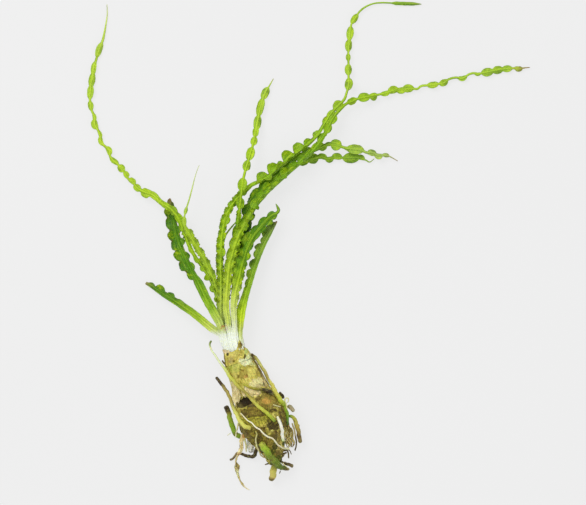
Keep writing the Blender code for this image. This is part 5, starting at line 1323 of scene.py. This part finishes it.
# The scraps: name, edges, lift and tint
SCRAPS = [
    (
        "skin_left",
        [(126, 5.6, 7.2), (140, 5.5, 7.75), (154, 5.4, 7.9), (170, 5.4, 7.6), (186, 5.5, 7.3)],
        [(0.0, 0.1), (0.6, 0.5), (1.0, 1.1)],
        PALE_TINT,
    ),
    (
        "skin_middle",
        [(66, 6.0, 7.2), (80, 6.0, 7.45), (94, 6.0, 7.3), (108, 6.0, 7.5), (122, 6.0, 7.1)],
        [(0.0, 0.1), (0.6, 0.2), (1.0, 0.6)],
        PALE_TINT,
    ),
    (
        "skin_lip",
        [(70, 9.4, 8.5), (90, 9.4, 8.35), (106, 9.3, 8.5), (124, 9.3, 8.3), (140, 9.2, 8.5)],
        [(0.0, 0.0), (0.6, 0.25), (1.0, 0.7)],
        DARK_TINT,
    ),
    (
        "skin_right",
        [(6, 8.6, 10.6), (18, 8.8, 11.3), (30, 8.8, 10.8), (40, 9.0, 10.4)],
        [(0.0, 0.0), (0.6, 0.3), (1.0, 0.9)],
        DARK_TINT,
    ),
    (
        "skin_low",
        [(84, 10.4, 11.8), (104, 10.4, 12.3), (124, 10.2, 11.9), (146, 10.2, 12.2), (160, 10.2, 11.6)],
        [(0.0, 0.0), (0.6, 0.25), (1.0, 0.8)],
        DARK_TINT,
    ),
    (
        "skin_back_left",
        [(186, 7.4, 10.2), (205, 7.2, 11.0), (226, 7.3, 10.4), (246, 7.2, 11.2)],
        [(0.0, 0.0), (0.7, 0.2), (1.0, 0.8)],
        OLIVE_TINT,
    ),
    (
        "skin_back_right",
        [(-72, 7.6, 11.0), (-52, 7.4, 11.8), (-30, 7.6, 11.2), (-12, 7.8, 10.4)],
        [(0.0, 0.0), (0.7, 0.2), (1.0, 0.8)],
        OLIVE_TINT,
    ),
]
for number, (name, edges, lift, tint) in enumerate(SCRAPS):
    flap(name, edges, lift, tint, (), 0.45, 11.0 + 3.1 * number, 56, 22)


# The neck
# Above the bulb the white bases of the leaves are packed into one fleshy column. Each base shows as a
# soft ridge that fades out downward, and the green of its leaf runs a little way into it.

RIDGES = 11  # sheaths round the neck
RIDGE_HEIGHT = 0.30  # millimetres
RIDGE_START, RIDGE_STOP = 1.6, 2.4  # sections from the two ends of the neck where ridges begin
NECK_ROWS, NECK_COLUMNS = 100, 120
level, turn = grid_of(
    np.linspace(0.0, len(NECK_SECTIONS) - 1.0, NECK_ROWS),
    np.linspace(0.0, 2 * math.pi, NECK_COLUMNS, endpoint=False),
)
rows = read_rows(NECK_SECTIONS, level)
left = spot(rows[..., 0], rows[..., 1], NECK_HEIGHT)
right = spot(rows[..., 2], rows[..., 3], NECK_HEIGHT)
half = (right - left) / 2
rings = (left + right) / 2 + half * np.cos(turn)[..., None]
rings[..., 2] += rows[..., 4] * MM * np.sin(turn)
top = len(NECK_SECTIONS) - RIDGE_STOP
upward = np.clip((level - RIDGE_START) / 3.0, 0.0, 1.0) * np.clip((top - level) / 3.0, 0.0, 1.0)
ridge = np.abs(np.sin(turn * RIDGES / 2 + 0.5 + 0.2 * np.sin(level))) - 0.6
ridge = RIDGE_HEIGHT * upward * ridge + 0.12 * rough_field(turn * 3.0, level * 0.6, 4.4)
outward = half / np.linalg.norm(half, axis=-1)[..., None] * np.cos(turn)[..., None]
outward[..., 2] = np.sin(turn)
rings += outward * (ridge * MM)[..., None]
rings[-1] = rings[-1].mean(axis=0)
layers = {"weave": np.stack([level * 3.6, turn * 8.0, ridge], axis=-1)}
neck_sheaths = loft("neck_sheaths", rings, layers)
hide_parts("neck")

paint = Paint("neck_flesh", {"Subsurface Weight": 0.35, "Subsurface Scale": 2.0 * MM})
where = paint.object_place()
along, away, _ = paint.attribute("weave")
streak = paint.noise(1.5, 2.0, paint.point(along * 0.06, away * 1.6))
cloud = paint.noise(240.0, 2.0, where)
upper = paint.fade(along, 7.0, 22.0)
colour = paint.mix(cloud, tone(208, 215, 196), tone(224, 228, 214))
colour = paint.mix(paint.fade(streak, 0.46, 0.62) * (0.10 + upper * 0.35), colour, tone(196, 212, 128))
NECK_TINTS = [
    (241.8, 337.0, 1.8, 9.0, 2, (190, 208, 104), 0.8),
    (238.4, 333.0, 1.6, 6.0, 0, (206, 218, 150), 0.5),
    (222.4, 333.4, 4.6, 1.4, -38, (182, 200, 110), 0.6),
    (226.0, 336.6, 1.6, 1.4, 0, (186, 202, 124), 0.5),
    (225.0, 329.0, 4.0, 1.8, 10, (200, 160, 110), 0.5),
]
colour = patched(paint, where, colour, (cloud - 0.5) * 1.2, NECK_TINTS)
relief = streak * 0.6 + cloud * 0.5
neck_sheaths.data.materials.append(paint.surface(colour, 0.3 + cloud * 0.2, relief, 0.35 * MM, 0.5))


# The roots
# Fleshy roots grow from the plate at the bulb's lower end and cross its skins. Some are green and alive,
# some are dry and cream, and several are brown stubs that were broken or cut off.


def over_bulb(pixels, above):
    """Route points over pixels inside the bulb's outline, this many millimetres off its plain form."""
    rows = read_rows(BULB_SECTIONS, np.linspace(0.0, BODY_STOP, 400))
    left, right = spot(rows[:, 0], rows[:, 1], rows[:, 4]), spot(rows[:, 2], rows[:, 3], rows[:, 4])
    middle = (left + right) / 2
    half = np.linalg.norm(right - left, axis=1) / 2 / MM
    points = []
    for across, down in pixels:
        apart = np.linalg.norm(middle[:, :2] - spot(across, down)[:2], axis=1)
        k = int(np.argmin(apart))
        rise = math.sqrt(max(0.0, 1.0 - (apart[k] / MM / (half[k] + above)) ** 2))
        points.append((across, down, middle[k, 2] / MM + (half[k] * BULB_DEPTH + above) * rise))
    return points


ROOT_STEP = 0.45 * MM
TIP_LENGTH = 0.9  # how far a root's end rounds off, in radii


def strand_rings(points, radii, sides, seed, uneven):
    """Rings round a root, with the numbers that its material reads. Radii holds (share of the length,
    radius in millimetres)."""
    route = Route(points)
    count = max(8, int(route.length / ROOT_STEP) + 1)
    s = np.linspace(0.0, route.length, count)
    share = s / route.length
    (radius,) = table(radii, share)
    tip = TIP_LENGTH * radius * MM
    for near in (s / tip, (route.length - s) / tip):
        radius = radius * np.sqrt(np.clip(1.0 - (1.0 - np.clip(near, 0.0, 1.0)) ** 2, 0.0, 1.0))
    centre, across, up = route.frames(s)
    turn = np.linspace(0.0, 2 * math.pi, sides, endpoint=False)
    place, angle = grid_of(s / MM, turn)
    wobble = 1.0 + uneven * rough_field(place / 1.6, np.cos(angle) * 0.8 + np.sin(angle) * 0.5, seed)
    wobble += 0.5 * uneven * rough_field(place / 0.55, angle * 0.9, seed + 5.0)
    sway = 0.25 * radius * wander(seed + 8.0, s, 3.0 * MM)
    size = radius[:, None] * wobble * MM
    rings = centre[:, None] + across[:, None] * (np.cos(angle) * size + sway[:, None] * MM)[..., None]
    rings += up[:, None] * (np.sin(angle) * size)[..., None]
    layers = {
        "growth": np.stack([share[:, None] + angle * 0.0, angle / (2 * math.pi), wobble], axis=-1),
        "weave": np.stack([place, angle * radius[:, None], angle * 0.0 + seed], axis=-1),
    }
    return rings, layers


ROOT_FLESH = {"Subsurface Weight": 0.08, "Subsurface Scale": 0.7 * MM, "Specular IOR Level": 0.3}
BLOTCH_BROWN = tone(112, 88, 36)
GRAIN_BROWN = tone(66, 50, 20)
WRINKLE_PALE = tone(226, 226, 130)


def root_skin(name, stops, blotch):
    """Root skin: its stops give the colour along it. Over it lie brown blotches and grains, and pale
    lengthwise wrinkles."""
    paint = Paint(name, ROOT_FLESH)
    where = paint.object_place()
    share, _, _ = paint.attribute("growth")
    along, away, _ = paint.attribute("weave")
    cloud = paint.noise(420.0, 3.0, where)
    grain = paint.noise(1700.0, 3.0, where)
    wrinkle = paint.noise(1.4, 2.0, paint.point(along * 0.35, away * 2.2))
    colour = paint.ramp(share + (cloud - 0.5) * 0.12, stops)
    colour = paint.mix(paint.fade(cloud, 0.55, 0.72) * blotch, colour, BLOTCH_BROWN)
    colour = paint.mix(paint.fade(grain, 0.60, 0.72) * blotch * 0.8, colour, GRAIN_BROWN)
    colour = paint.mix(paint.fade(wrinkle, 0.54, 0.70) * 0.35, colour, WRINKLE_PALE)
    colour = paint.shaded(colour, 0.66 + wrinkle * 0.42 + grain * 0.28)
    relief = wrinkle * 0.8 + grain * 0.5 + cloud * 0.4
    return paint.surface(colour, 0.36 + cloud * 0.3, relief, 0.4 * MM, 0.7)


root_numbers = itertools.count(1)
SEED_STEP = 3.7  # from one root's random numbers to the next one's
STRAND_MERGE = 0.0005 * MM


def root(node, points, radii, stops, blotch, uneven=0.07, sides=14):
    """One root from its route and its radii. Blotch is how brown it is, and uneven how knobbly."""
    seed = SEED_STEP * next(root_numbers)
    rings, layers = strand_rings(points, radii, sides, seed, uneven)
    piece = loft(node + "_strand", rings, layers, STRAND_MERGE)
    piece.data.materials.append(root_skin(node + "_bark", stops, blotch))
    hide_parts(node)


CREAM = [(0.0, (206, 196, 140)), (0.3, (236, 230, 196)), (0.8, (240, 235, 205)), (1.0, (214, 206, 160))]
BROWN = [(0.0, (70, 56, 28)), (0.6, (92, 76, 42)), (1.0, (120, 106, 72))]
PALE_TAN = [(0.0, (190, 176, 92)), (0.5, (222, 208, 132)), (1.0, (214, 196, 120))]
DARK_TAN = [(0.0, (120, 104, 44)), (0.5, (150, 132, 66)), (1.0, (96, 78, 36))]
TAN = [(0.0, (160, 146, 70)), (0.4, (200, 186, 112)), (0.8, (214, 200, 136)), (1.0, (150, 128, 76))]

root(
    "root_across",
    over_bulb([
        (275.4, 420.6), (269, 413.6), (262, 408), (256, 402.8), (251, 397.6), (246, 392.4), (239, 386),
        (233, 379.5), (228.5, 373.5),
    ], 1.45)
    + [
        (224.0, 367.0, 14.8), (219.4, 361.5, 13.4), (215.4, 355.5, 12.2), (211.5, 350.0, 11.0),
        (209.8, 344.5, 10.2), (211.6, 340.4, 9.8),
    ],
    [
        (0.0, 0.95), (0.1, 1.15), (0.28, 1.0), (0.35, 0.85), (0.5, 1.1), (0.62, 1.1), (0.72, 0.75),
        (0.9, 0.5), (1.0, 0.65),
    ],
    [
        (0.0, (120, 146, 36)), (0.07, (172, 184, 50)), (0.22, (188, 188, 72)), (0.3, (164, 154, 56)),
        (0.38, (150, 138, 54)), (0.48, (176, 172, 60)), (0.6, (190, 196, 78)), (0.7, (204, 216, 126)),
        (0.76, (218, 228, 180)), (0.93, (214, 224, 170)), (0.97, (140, 160, 90)), (1.0, (110, 128, 66)),
    ],
    0.25,
)
root(
    "root_dark_branch",
    over_bulb([(243, 383.4), (249, 386), (255, 387.8), (262, 388.4), (268, 390.4), (273.4, 394.6)], 1.3),
    [(0.0, 0.6), (0.5, 0.8), (0.7, 1.1), (0.85, 1.5), (1.0, 0.9)],
    [
        (0.0, (168, 166, 50)), (0.25, (152, 148, 34)), (0.5, (128, 120, 34)), (0.64, (58, 46, 16)),
        (0.85, (42, 32, 12)), (1.0, (96, 84, 36)),
    ],
    0.4, 0.12,
)
root(
    "root_left_dark",
    over_bulb([(251.5, 428), (244, 424.6), (239.5, 419), (236.6, 413)], 1.75)
    + [
        (232.8, 406.0, 13.2), (231.0, 399.5, 12.6), (227.6, 393.0, 12.0), (223.4, 386.0, 11.0),
        (219.0, 381.0, 10.2), (215.8, 376.8, 9.4),
    ],
    [(0.0, 1.35), (0.2, 1.3), (0.4, 1.15), (0.6, 1.1), (0.85, 1.0), (1.0, 0.9)],
    [
        (0.0, (178, 172, 74)), (0.1, (202, 200, 88)), (0.35, (200, 202, 100)), (0.5, (178, 170, 84)),
        (0.68, (162, 150, 70)), (0.8, (138, 120, 58)), (0.87, (58, 42, 22)), (1.0, (44, 30, 14)),
    ],
    0.3,
)
root(
    "root_fat_left",
    [
        (241.6, 436.8, 4.4), (238.2, 435.8, 4.2), (234.8, 432.2, 4.0), (231.9, 426.0, 3.9),
        (229.9, 419.0, 3.9), (228.2, 412.2, 4.2), (226.4, 405.4, 4.8),
    ],
    [(0.0, 1.5), (0.3, 1.6), (0.7, 1.5), (0.85, 1.6), (1.0, 1.7)],
    [
        (0.0, (84, 110, 20)), (0.1, (124, 160, 24)), (0.18, (96, 100, 30)), (0.26, (112, 148, 16)),
        (0.5, (124, 158, 20)), (0.7, (134, 150, 36)), (0.79, (128, 116, 48)), (0.84, (58, 44, 16)),
        (0.97, (46, 34, 12)), (1.0, (120, 110, 80)),
    ],
    0.25,
)
root(
    "root_cream_long",
    [(290.0, 450.0, 8.6), (286.0, 448.6, 10.0)]
    + over_bulb([
        (282, 447.2), (278, 444.3), (275, 440.5), (272, 437.2), (268, 435.6), (263, 432), (260, 428.6),
        (256, 426), (252, 422), (247.5, 419.4), (244, 415.6), (240.5, 412),
    ], 1.1),
    [(0.0, 0.35), (0.1, 0.5), (0.5, 0.5), (1.0, 0.35)], CREAM, 0.12, 0.12, 10,
)
root(
    "root_cream_short",
    over_bulb([
        (255.6, 429.8), (257, 433.5), (256, 439), (257, 445), (259, 450), (261, 455), (265, 457.6),
    ], 1.0),
    [(0.0, 0.4), (0.5, 0.48), (1.0, 0.42)],
    [(0.0, (168, 160, 76)), (0.35, (220, 214, 158)), (0.8, (214, 204, 150)), (1.0, (160, 140, 90))],
    0.2, 0.12, 10,
)
root(
    "root_green_low",
    over_bulb([(261, 441.4), (264, 446.6), (268, 452.8), (272.5, 459), (277.4, 464.4)], 2.5)
    + [(283.0, 468.0, 9.0), (289.6, 469.4, 7.8)],
    [(0.0, 2.0), (0.3, 2.1), (0.5, 2.2), (0.75, 1.7), (0.9, 1.3), (1.0, 0.6)],
    [
        (0.0, (170, 176, 60)), (0.12, (160, 190, 40)), (0.26, (138, 172, 30)), (0.34, (116, 134, 26)),
        (0.5, (112, 132, 24)), (0.62, (96, 120, 18)), (0.75, (84, 112, 14)), (0.9, (78, 80, 20)),
        (1.0, (90, 80, 40)),
    ],
    0.8, 0.16,
)
root(
    "root_stub_bottom",
    [(275.2, 463.0, 8.6), (274.2, 468.0, 8.0), (272.9, 474.0, 6.8), (271.2, 481.4, 5.2)],
    [(0.0, 1.9), (0.5, 2.1), (0.75, 1.9), (1.0, 1.6)],
    [
        (0.0, (110, 126, 30)), (0.25, (160, 156, 60)), (0.45, (200, 190, 92)), (0.7, (196, 184, 96)),
        (0.8, (140, 122, 62)), (0.88, (96, 78, 34)), (1.0, (160, 146, 104)),
    ],
    0.5, 0.1,
)
root(
    "root_stub_dark",
    [(284.0, 462.6, 6.4), (288.6, 464.8, 5.6), (293.6, 466.4, 5.0)],
    [(0.0, 0.9), (0.6, 1.0), (1.0, 1.1)], BROWN, 0.4, 0.15,
)


# The roots down the right of the bulb
# They lie one beside the other along its right side: a long green one from the neck down, its thin and
# broken neighbours, an arched one, and thin cream and tan ones. A dark one curls away below.
root(
    "root_right_long",
    over_bulb([
        (251.2, 353.6), (256, 358), (259.5, 363.5), (262, 367), (264.8, 371.5), (267, 376),
        (269.2, 380), (272.3, 385), (275.2, 390), (278, 395), (281, 400),
    ], 1.3)
    + [
        (284.0, 405.0, 13.8), (285.8, 410.0, 13.6), (286.8, 415.0, 13.0), (287.2, 420.0, 12.4),
        (286.8, 425.4, 11.6),
    ],
    [
        (0.0, 0.7), (0.08, 1.0), (0.3, 1.05), (0.38, 0.95), (0.46, 1.2), (0.55, 1.4), (0.72, 1.5),
        (0.85, 1.3), (1.0, 0.9),
    ],
    [
        (0.0, (84, 70, 30)), (0.03, (78, 64, 22)), (0.06, (172, 164, 84)), (0.18, (198, 196, 108)),
        (0.27, (184, 172, 94)), (0.32, (172, 158, 84)), (0.4, (202, 196, 94)), (0.56, (196, 190, 78)),
        (0.68, (176, 190, 46)), (0.78, (146, 176, 26)), (0.9, (96, 140, 16)), (1.0, (56, 96, 14)),
    ],
    0.15,
)
root(
    "root_right_thin",
    over_bulb([
        (252.6, 356.6), (255.4, 361.6), (258.6, 367.4), (261.6, 372.6), (264.4, 379), (267, 387),
    ], 0.9),
    [(0.0, 0.5), (0.5, 0.6), (0.8, 0.8), (1.0, 0.7)],
    [
        (0.0, (78, 62, 20)), (0.3, (96, 78, 26)), (0.45, (88, 70, 30)), (0.6, (120, 104, 66)),
        (0.8, (176, 160, 110)), (1.0, (150, 132, 74)),
    ],
    0.5, 0.14, 10,
)
root(
    "root_right_dark",
    [(279.4, 391.4, 13.6), (281.6, 394.4, 13.6), (283.6, 398.6, 13.6)],
    [(0.0, 0.6), (0.5, 1.05), (1.0, 0.8)],
    [(0.0, (74, 58, 18)), (0.5, (52, 38, 10)), (1.0, (70, 54, 20))],
    0.3, 0.14, 12,
)
root(
    "root_stub_right",
    [(287.2, 405.6, 12.4), (290.6, 407.8, 11.8), (294.6, 411.2, 11.0)],
    [(0.0, 1.1), (0.4, 1.35), (1.0, 1.15)],
    [(0.0, (130, 118, 76)), (0.6, (168, 158, 124)), (1.0, (160, 150, 112))],
    0.4, 0.12,
)
root(
    "root_right_arch",
    [
        (288.6, 416.0, 11.4), (291.4, 416.4, 10.6), (294.2, 419.2, 9.8), (296.6, 423.8, 8.8),
        (298.2, 430.0, 7.8), (299.2, 437.0, 6.9), (300.2, 443.4, 6.2),
    ],
    [(0.0, 0.8), (0.2, 1.2), (0.5, 1.4), (0.8, 1.3), (1.0, 1.1)],
    [
        (0.0, (110, 140, 40)), (0.15, (166, 170, 56)), (0.3, (178, 168, 72)), (0.5, (172, 154, 72)),
        (0.65, (146, 126, 60)), (0.75, (84, 64, 30)), (0.88, (140, 122, 66)), (1.0, (60, 46, 22)),
    ],
    0.5, 0.12,
)
root(
    "root_right_thread",
    [
        (291.8, 423.0, 7.0), (294.2, 430.0, 6.6), (295.6, 437.0, 6.2), (296.6, 444.0, 5.8),
        (295.0, 451.2, 5.2),
    ],
    [(0.0, 0.5), (1.0, 0.45)],
    [(0.0, (200, 188, 128)), (0.4, (196, 180, 120)), (0.55, (84, 66, 26)), (1.0, (64, 48, 18))],
    0.3, 0.12, 10,
)
root(
    "root_white",
    over_bulb([(277.4, 415), (279.6, 420.6), (281.4, 427), (282.6, 434), (283.2, 441.5)], 1.9),
    [(0.0, 0.6), (0.15, 0.9), (0.5, 1.0), (0.85, 1.0), (1.0, 0.7)],
    [
        (0.0, (226, 222, 180)), (0.2, (244, 243, 226)), (0.8, (246, 246, 232)), (0.94, (214, 224, 160)),
        (1.0, (110, 140, 50)),
    ],
    0.06, 0.06,
)
root(
    "root_tan_inner",
    [
        (286.8, 426.6, 7.4), (288.4, 431.6, 7.2), (287.8, 437.0, 7.0), (289.8, 442.4, 6.6),
        (288.8, 447.4, 6.2),
    ],
    [(0.0, 0.5), (0.3, 0.85), (0.6, 0.6), (1.0, 0.5)], TAN, 0.5, 0.2,
)
root(
    "root_tan_outer",
    [
        (290.4, 427.6, 5.0), (292.6, 432.4, 4.8), (292.2, 438.0, 4.6), (294.0, 442.6, 4.4),
        (293.0, 446.8, 4.2),
    ],
    [(0.0, 0.55), (0.5, 0.75), (1.0, 0.45)], TAN, 0.4, 0.2,
)
root(
    "root_low_left",
    [
        (256.2, 444.6, 5.6), (256.4, 449.0, 4.2), (255.4, 454.2, 3.2), (252.0, 457.2, 2.6),
        (247.0, 456.4, 2.2), (242.0, 454.2, 1.8), (237.6, 453.6, 1.5), (234.8, 456.4, 1.3),
        (232.4, 459.0, 1.2), (229.4, 460.6, 1.1),
    ],
    [(0.0, 0.9), (0.2, 1.2), (0.35, 1.15), (0.6, 0.9), (1.0, 0.6)],
    [
        (0.0, (96, 78, 34)), (0.12, (60, 46, 16)), (0.5, (56, 42, 16)), (0.62, (78, 60, 34)),
        (0.74, (132, 112, 72)), (1.0, (96, 80, 52)),
    ],
    0.4, 0.15,
)


# The loose shreds of skin
# Below the bulb a long shred of dried skin twists away to a thin pale tip, and beside it a small flap of
# white inner tissue hangs from the plate.


SHRED_STEP = 0.35 * MM
SHRED_COLUMNS = 15
SHRED_THICK = 0.22 * MM
OVER_FLOOR = 0.05 * MM  # how low the tissue may hang


def shred(node, points, halves, roll, fold, tissue):
    """A crumpled ribbon. Halves holds (share, half width in millimetres), roll holds (share, degrees), and
    fold is how crumpled it is."""
    route = Route(points)
    s = np.linspace(0.0, route.length, int(route.length / SHRED_STEP) + 2)
    share = s / route.length
    (half,), (angle,) = table(halves, share), table(roll, share)
    centre, across, up = route.frames(s)
    place, side = grid_of(s / MM, np.linspace(-1.0, 1.0, SHRED_COLUMNS))
    edge = 1.0 + 0.22 * rough_field(place / 1.3, np.sign(side) * 3.0, 2.0) * np.abs(side)
    out = half[:, None] * side * edge
    crumple = rough_field(side * 1.3, place / 4.0, 6.0)
    crumple += 0.5 * rough_field(side * 3.0, place / 1.6, 7.0)
    rise = fold * half[:, None] * crumple
    turn = np.radians(angle)[:, None]
    x = out * np.cos(turn) - rise * np.sin(turn)
    y = out * np.sin(turn) + rise * np.cos(turn)
    points = centre[:, None] + across[:, None] * (x * MM)[..., None] + up[:, None] * (y * MM)[..., None]
    points[..., 2] = np.maximum(points[..., 2], OVER_FLOOR)
    layers = {
        "growth": np.stack([share[:, None] + side * 0.0, side, 0.5 + rise * 0.2], axis=-1),
        "weave": np.stack([place, out, side * 0.0], axis=-1),
    }
    piece = sheet(node + "_tissue", points, layers, SHRED_THICK)
    piece.data.materials.append(tissue)
    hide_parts(node)


SHRED_PATCHES = [
    (244.0, 436.4, 1.8, 2.2, 0, (204, 140, 66), 0.85), (238.6, 454.8, 1.6, 1.2, 0, (206, 150, 72), 0.7),
    (237.6, 465.6, 2.0, 4.0, 10, (146, 128, 62), 0.85),
    (234.0, 463.0, 1.4, 1.2, 0, (160, 140, 80), 0.7), (237.2, 473.6, 2.4, 3.6, 0, (214, 220, 166), 0.8),
    (242.4, 482.4, 1.2, 2.8, 20, (156, 130, 70), 0.8),
]
SHRED_TINT = [(0.3, (200, 180, 110)), (0.5, (228, 212, 150)), (0.7, (240, 230, 188))]
FLAP_TINT = [(0.3, (214, 216, 200)), (0.5, (234, 236, 224)), (0.7, (242, 243, 235))]
shred(
    "skin_shred",
    [
        (243.6, 434.4, 9.0), (241.6, 440.6, 7.6), (241.2, 448.0, 6.2), (238.6, 454.6, 4.9),
        (235.8, 460.4, 3.6), (236.8, 466.0, 2.7), (237.2, 472.0, 2.1), (238.8, 478.0, 1.6),
        (241.6, 483.6, 1.3), (245.0, 487.8, 1.0), (249.6, 490.6, 0.7),
    ],
    [
        (0.0, 1.5), (0.15, 1.2), (0.28, 1.4), (0.38, 0.9), (0.46, 1.3), (0.56, 1.9), (0.66, 0.8),
        (0.78, 0.55), (0.86, 0.9), (0.92, 0.4), (1.0, 0.12),
    ],
    [(0.0, 0.0), (0.3, 20.0), (0.45, 80.0), (0.6, 10.0), (1.0, 60.0)], 0.5,
    dry_skin("skin_shred_paper", SHRED_TINT, SHRED_PATCHES, 0.5),
)
shred(
    "skin_flap",
    [(249.4, 440.0, 4.6), (250.2, 444.6, 4.0), (250.9, 449.0, 3.4), (251.4, 453.0, 3.0)],
    [(0.0, 1.6), (0.5, 2.3), (0.85, 1.8), (1.0, 1.0)], [(0.0, 0.0), (1.0, 15.0)], 0.35,
    dry_skin("skin_flap_paper", FLAP_TINT, (), 0.0),
)


# Root hairs, broken ends and fibres
# Between the larger roots at the right the plate carries a tangle of thin dry ones. Fine hairs and broken
# ends stand out from the bulb all round. They are thinner than anything in the solid model.


THREAD_SIDES = 8
THREAD_UNEVEN = 0.14


def threads(name, routes, stops, blotch):
    """Many thin roots joined into one mesh. Each route is (its points, radius in millimetres)."""
    pieces = []
    for points, radius in routes:
        radii = [(0.0, radius), (1.0, radius * 0.7)]
        seed = SEED_STEP * next(root_numbers)
        rings, layers = strand_rings(points, radii, THREAD_SIDES, seed, THREAD_UNEVEN)
        pieces.append(loft(name + "_part", rings, layers, STRAND_MERGE))
    joined = bmesh.new()
    for piece in pieces:
        joined.from_mesh(piece.data)
        bpy.data.objects.remove(piece)
    data = bpy.data.meshes.new(name)
    joined.to_mesh(data)
    joined.free()
    data.shade_smooth()
    whole = bpy.data.objects.new(name, data)
    bpy.context.scene.collection.objects.link(whole)
    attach(whole, "root")
    data.materials.append(root_skin(name + "_bark", stops, blotch))


def luck(seed):
    """A number from about -1 to 1 that differs from seed to seed."""
    return noise.noise(Vector((seed * 1.37, seed * 0.71, 2.2))) * 1.6


TANGLE_STRANDS = 22
TANGLE_PALE = 14  # how many of them are pale
tangle = []
for i in range(TANGLE_STRANDS):
    start = (285.5 + 5.0 * luck(i), 423.0 + 6.0 * luck(i + 40), 9.5 + 2.0 * luck(i + 80))
    stop = (289.5 + 4.6 * luck(i + 120), 446.0 + 5.0 * luck(i + 160), 7.0 + 1.6 * luck(i + 200))
    middle = [
        (
            start[0] + (stop[0] - start[0]) * t + 3.6 * luck(i + 240 + 50 * t),
            start[1] + (stop[1] - start[1]) * t,
            start[2] + (stop[2] - start[2]) * t + 1.2 * luck(i + 300 + 50 * t),
        )
        for t in (0.25, 0.5, 0.75)
    ]
    tangle.append(([start, *middle, stop], 0.24 + 0.12 * abs(luck(i + 7))))
threads("root_tangle", tangle[:TANGLE_PALE], PALE_TAN, 0.3)
threads("root_tangle_dark", tangle[TANGLE_PALE:], DARK_TAN, 0.5)
threads(
    "root_hairs_pale",
    [
        ([(231.0, 433.0, 3.6), (229.0, 434.4, 3.2), (227.0, 436.0, 2.8)], 0.25),
        ([(281.0, 462.0, 8.4), (284.0, 464.6, 8.8), (287.0, 467.4, 8.4), (289.4, 469.4, 8.2)], 0.4),
        ([(271.0, 403.0, 23.2), (275.0, 404.6, 22.2), (281.0, 406.5, 20.0)], 0.35),
        ([(238.6, 422.0, 15.0), (237.4, 428.0, 12.6), (236.2, 433.0, 10.6), (235.4, 437.4, 9.4)], 0.5),
        ([(244.4, 437.0, 8.0), (245.2, 442.0, 6.4), (246.2, 447.0, 5.0), (246.2, 452.4, 3.6)], 0.65),
        ([
            (287.0, 409.0, 14.4), (286.0, 404.0, 15.0), (284.8, 400.6, 15.2), (285.6, 398.0, 15.2),
            (287.6, 397.8, 15.0), (288.4, 400.0, 14.8), (287.4, 402.4, 14.6),
        ], 0.55),
        ([(279.2, 429.6, 19.0), (276.6, 433.0, 19.6), (276.6, 437.0, 19.4)], 0.35),
        ([(279.6, 444.0, 14.0), (283.0, 447.4, 12.6), (286.4, 448.4, 11.6), (289.6, 448.6, 10.6)], 0.7),
    ],
    [(0.0, (214, 210, 140)), (1.0, (222, 218, 170))], 0.15,
)
threads(
    "root_hairs_dark",
    [
        ([(280.0, 450.4, 11.6), (284.0, 450.6, 10.4), (287.6, 451.0, 9.0), (288.8, 458.6, 6.6)], 0.6),
        ([(279.0, 453.6, 10.8), (283.4, 453.8, 9.6), (287.0, 452.4, 8.6)], 0.8),
        ([(278.0, 456.6, 10.4), (281.6, 456.6, 9.4), (284.4, 454.4, 8.6)], 0.8),
        ([(288.4, 449.4, 9.0), (290.4, 451.6, 8.4), (291.6, 454.8, 7.6)], 0.35),
        ([(269.4, 463.0, 10.0), (266.6, 464.0, 9.6), (264.6, 464.8, 9.2)], 0.5),
        ([(280.6, 460.6, 9.0), (283.2, 462.2, 8.8), (286.0, 462.0, 8.6)], 0.55),
        ([(280.4, 470.6, 6.6), (280.0, 472.2, 6.2), (279.4, 474.0, 6.0)], 0.35),
        ([(222.2, 360.0, 12.4), (223.6, 362.2, 12.6), (225.4, 364.6, 12.8)], 0.6),
    ],
    BROWN, 0.3,
)
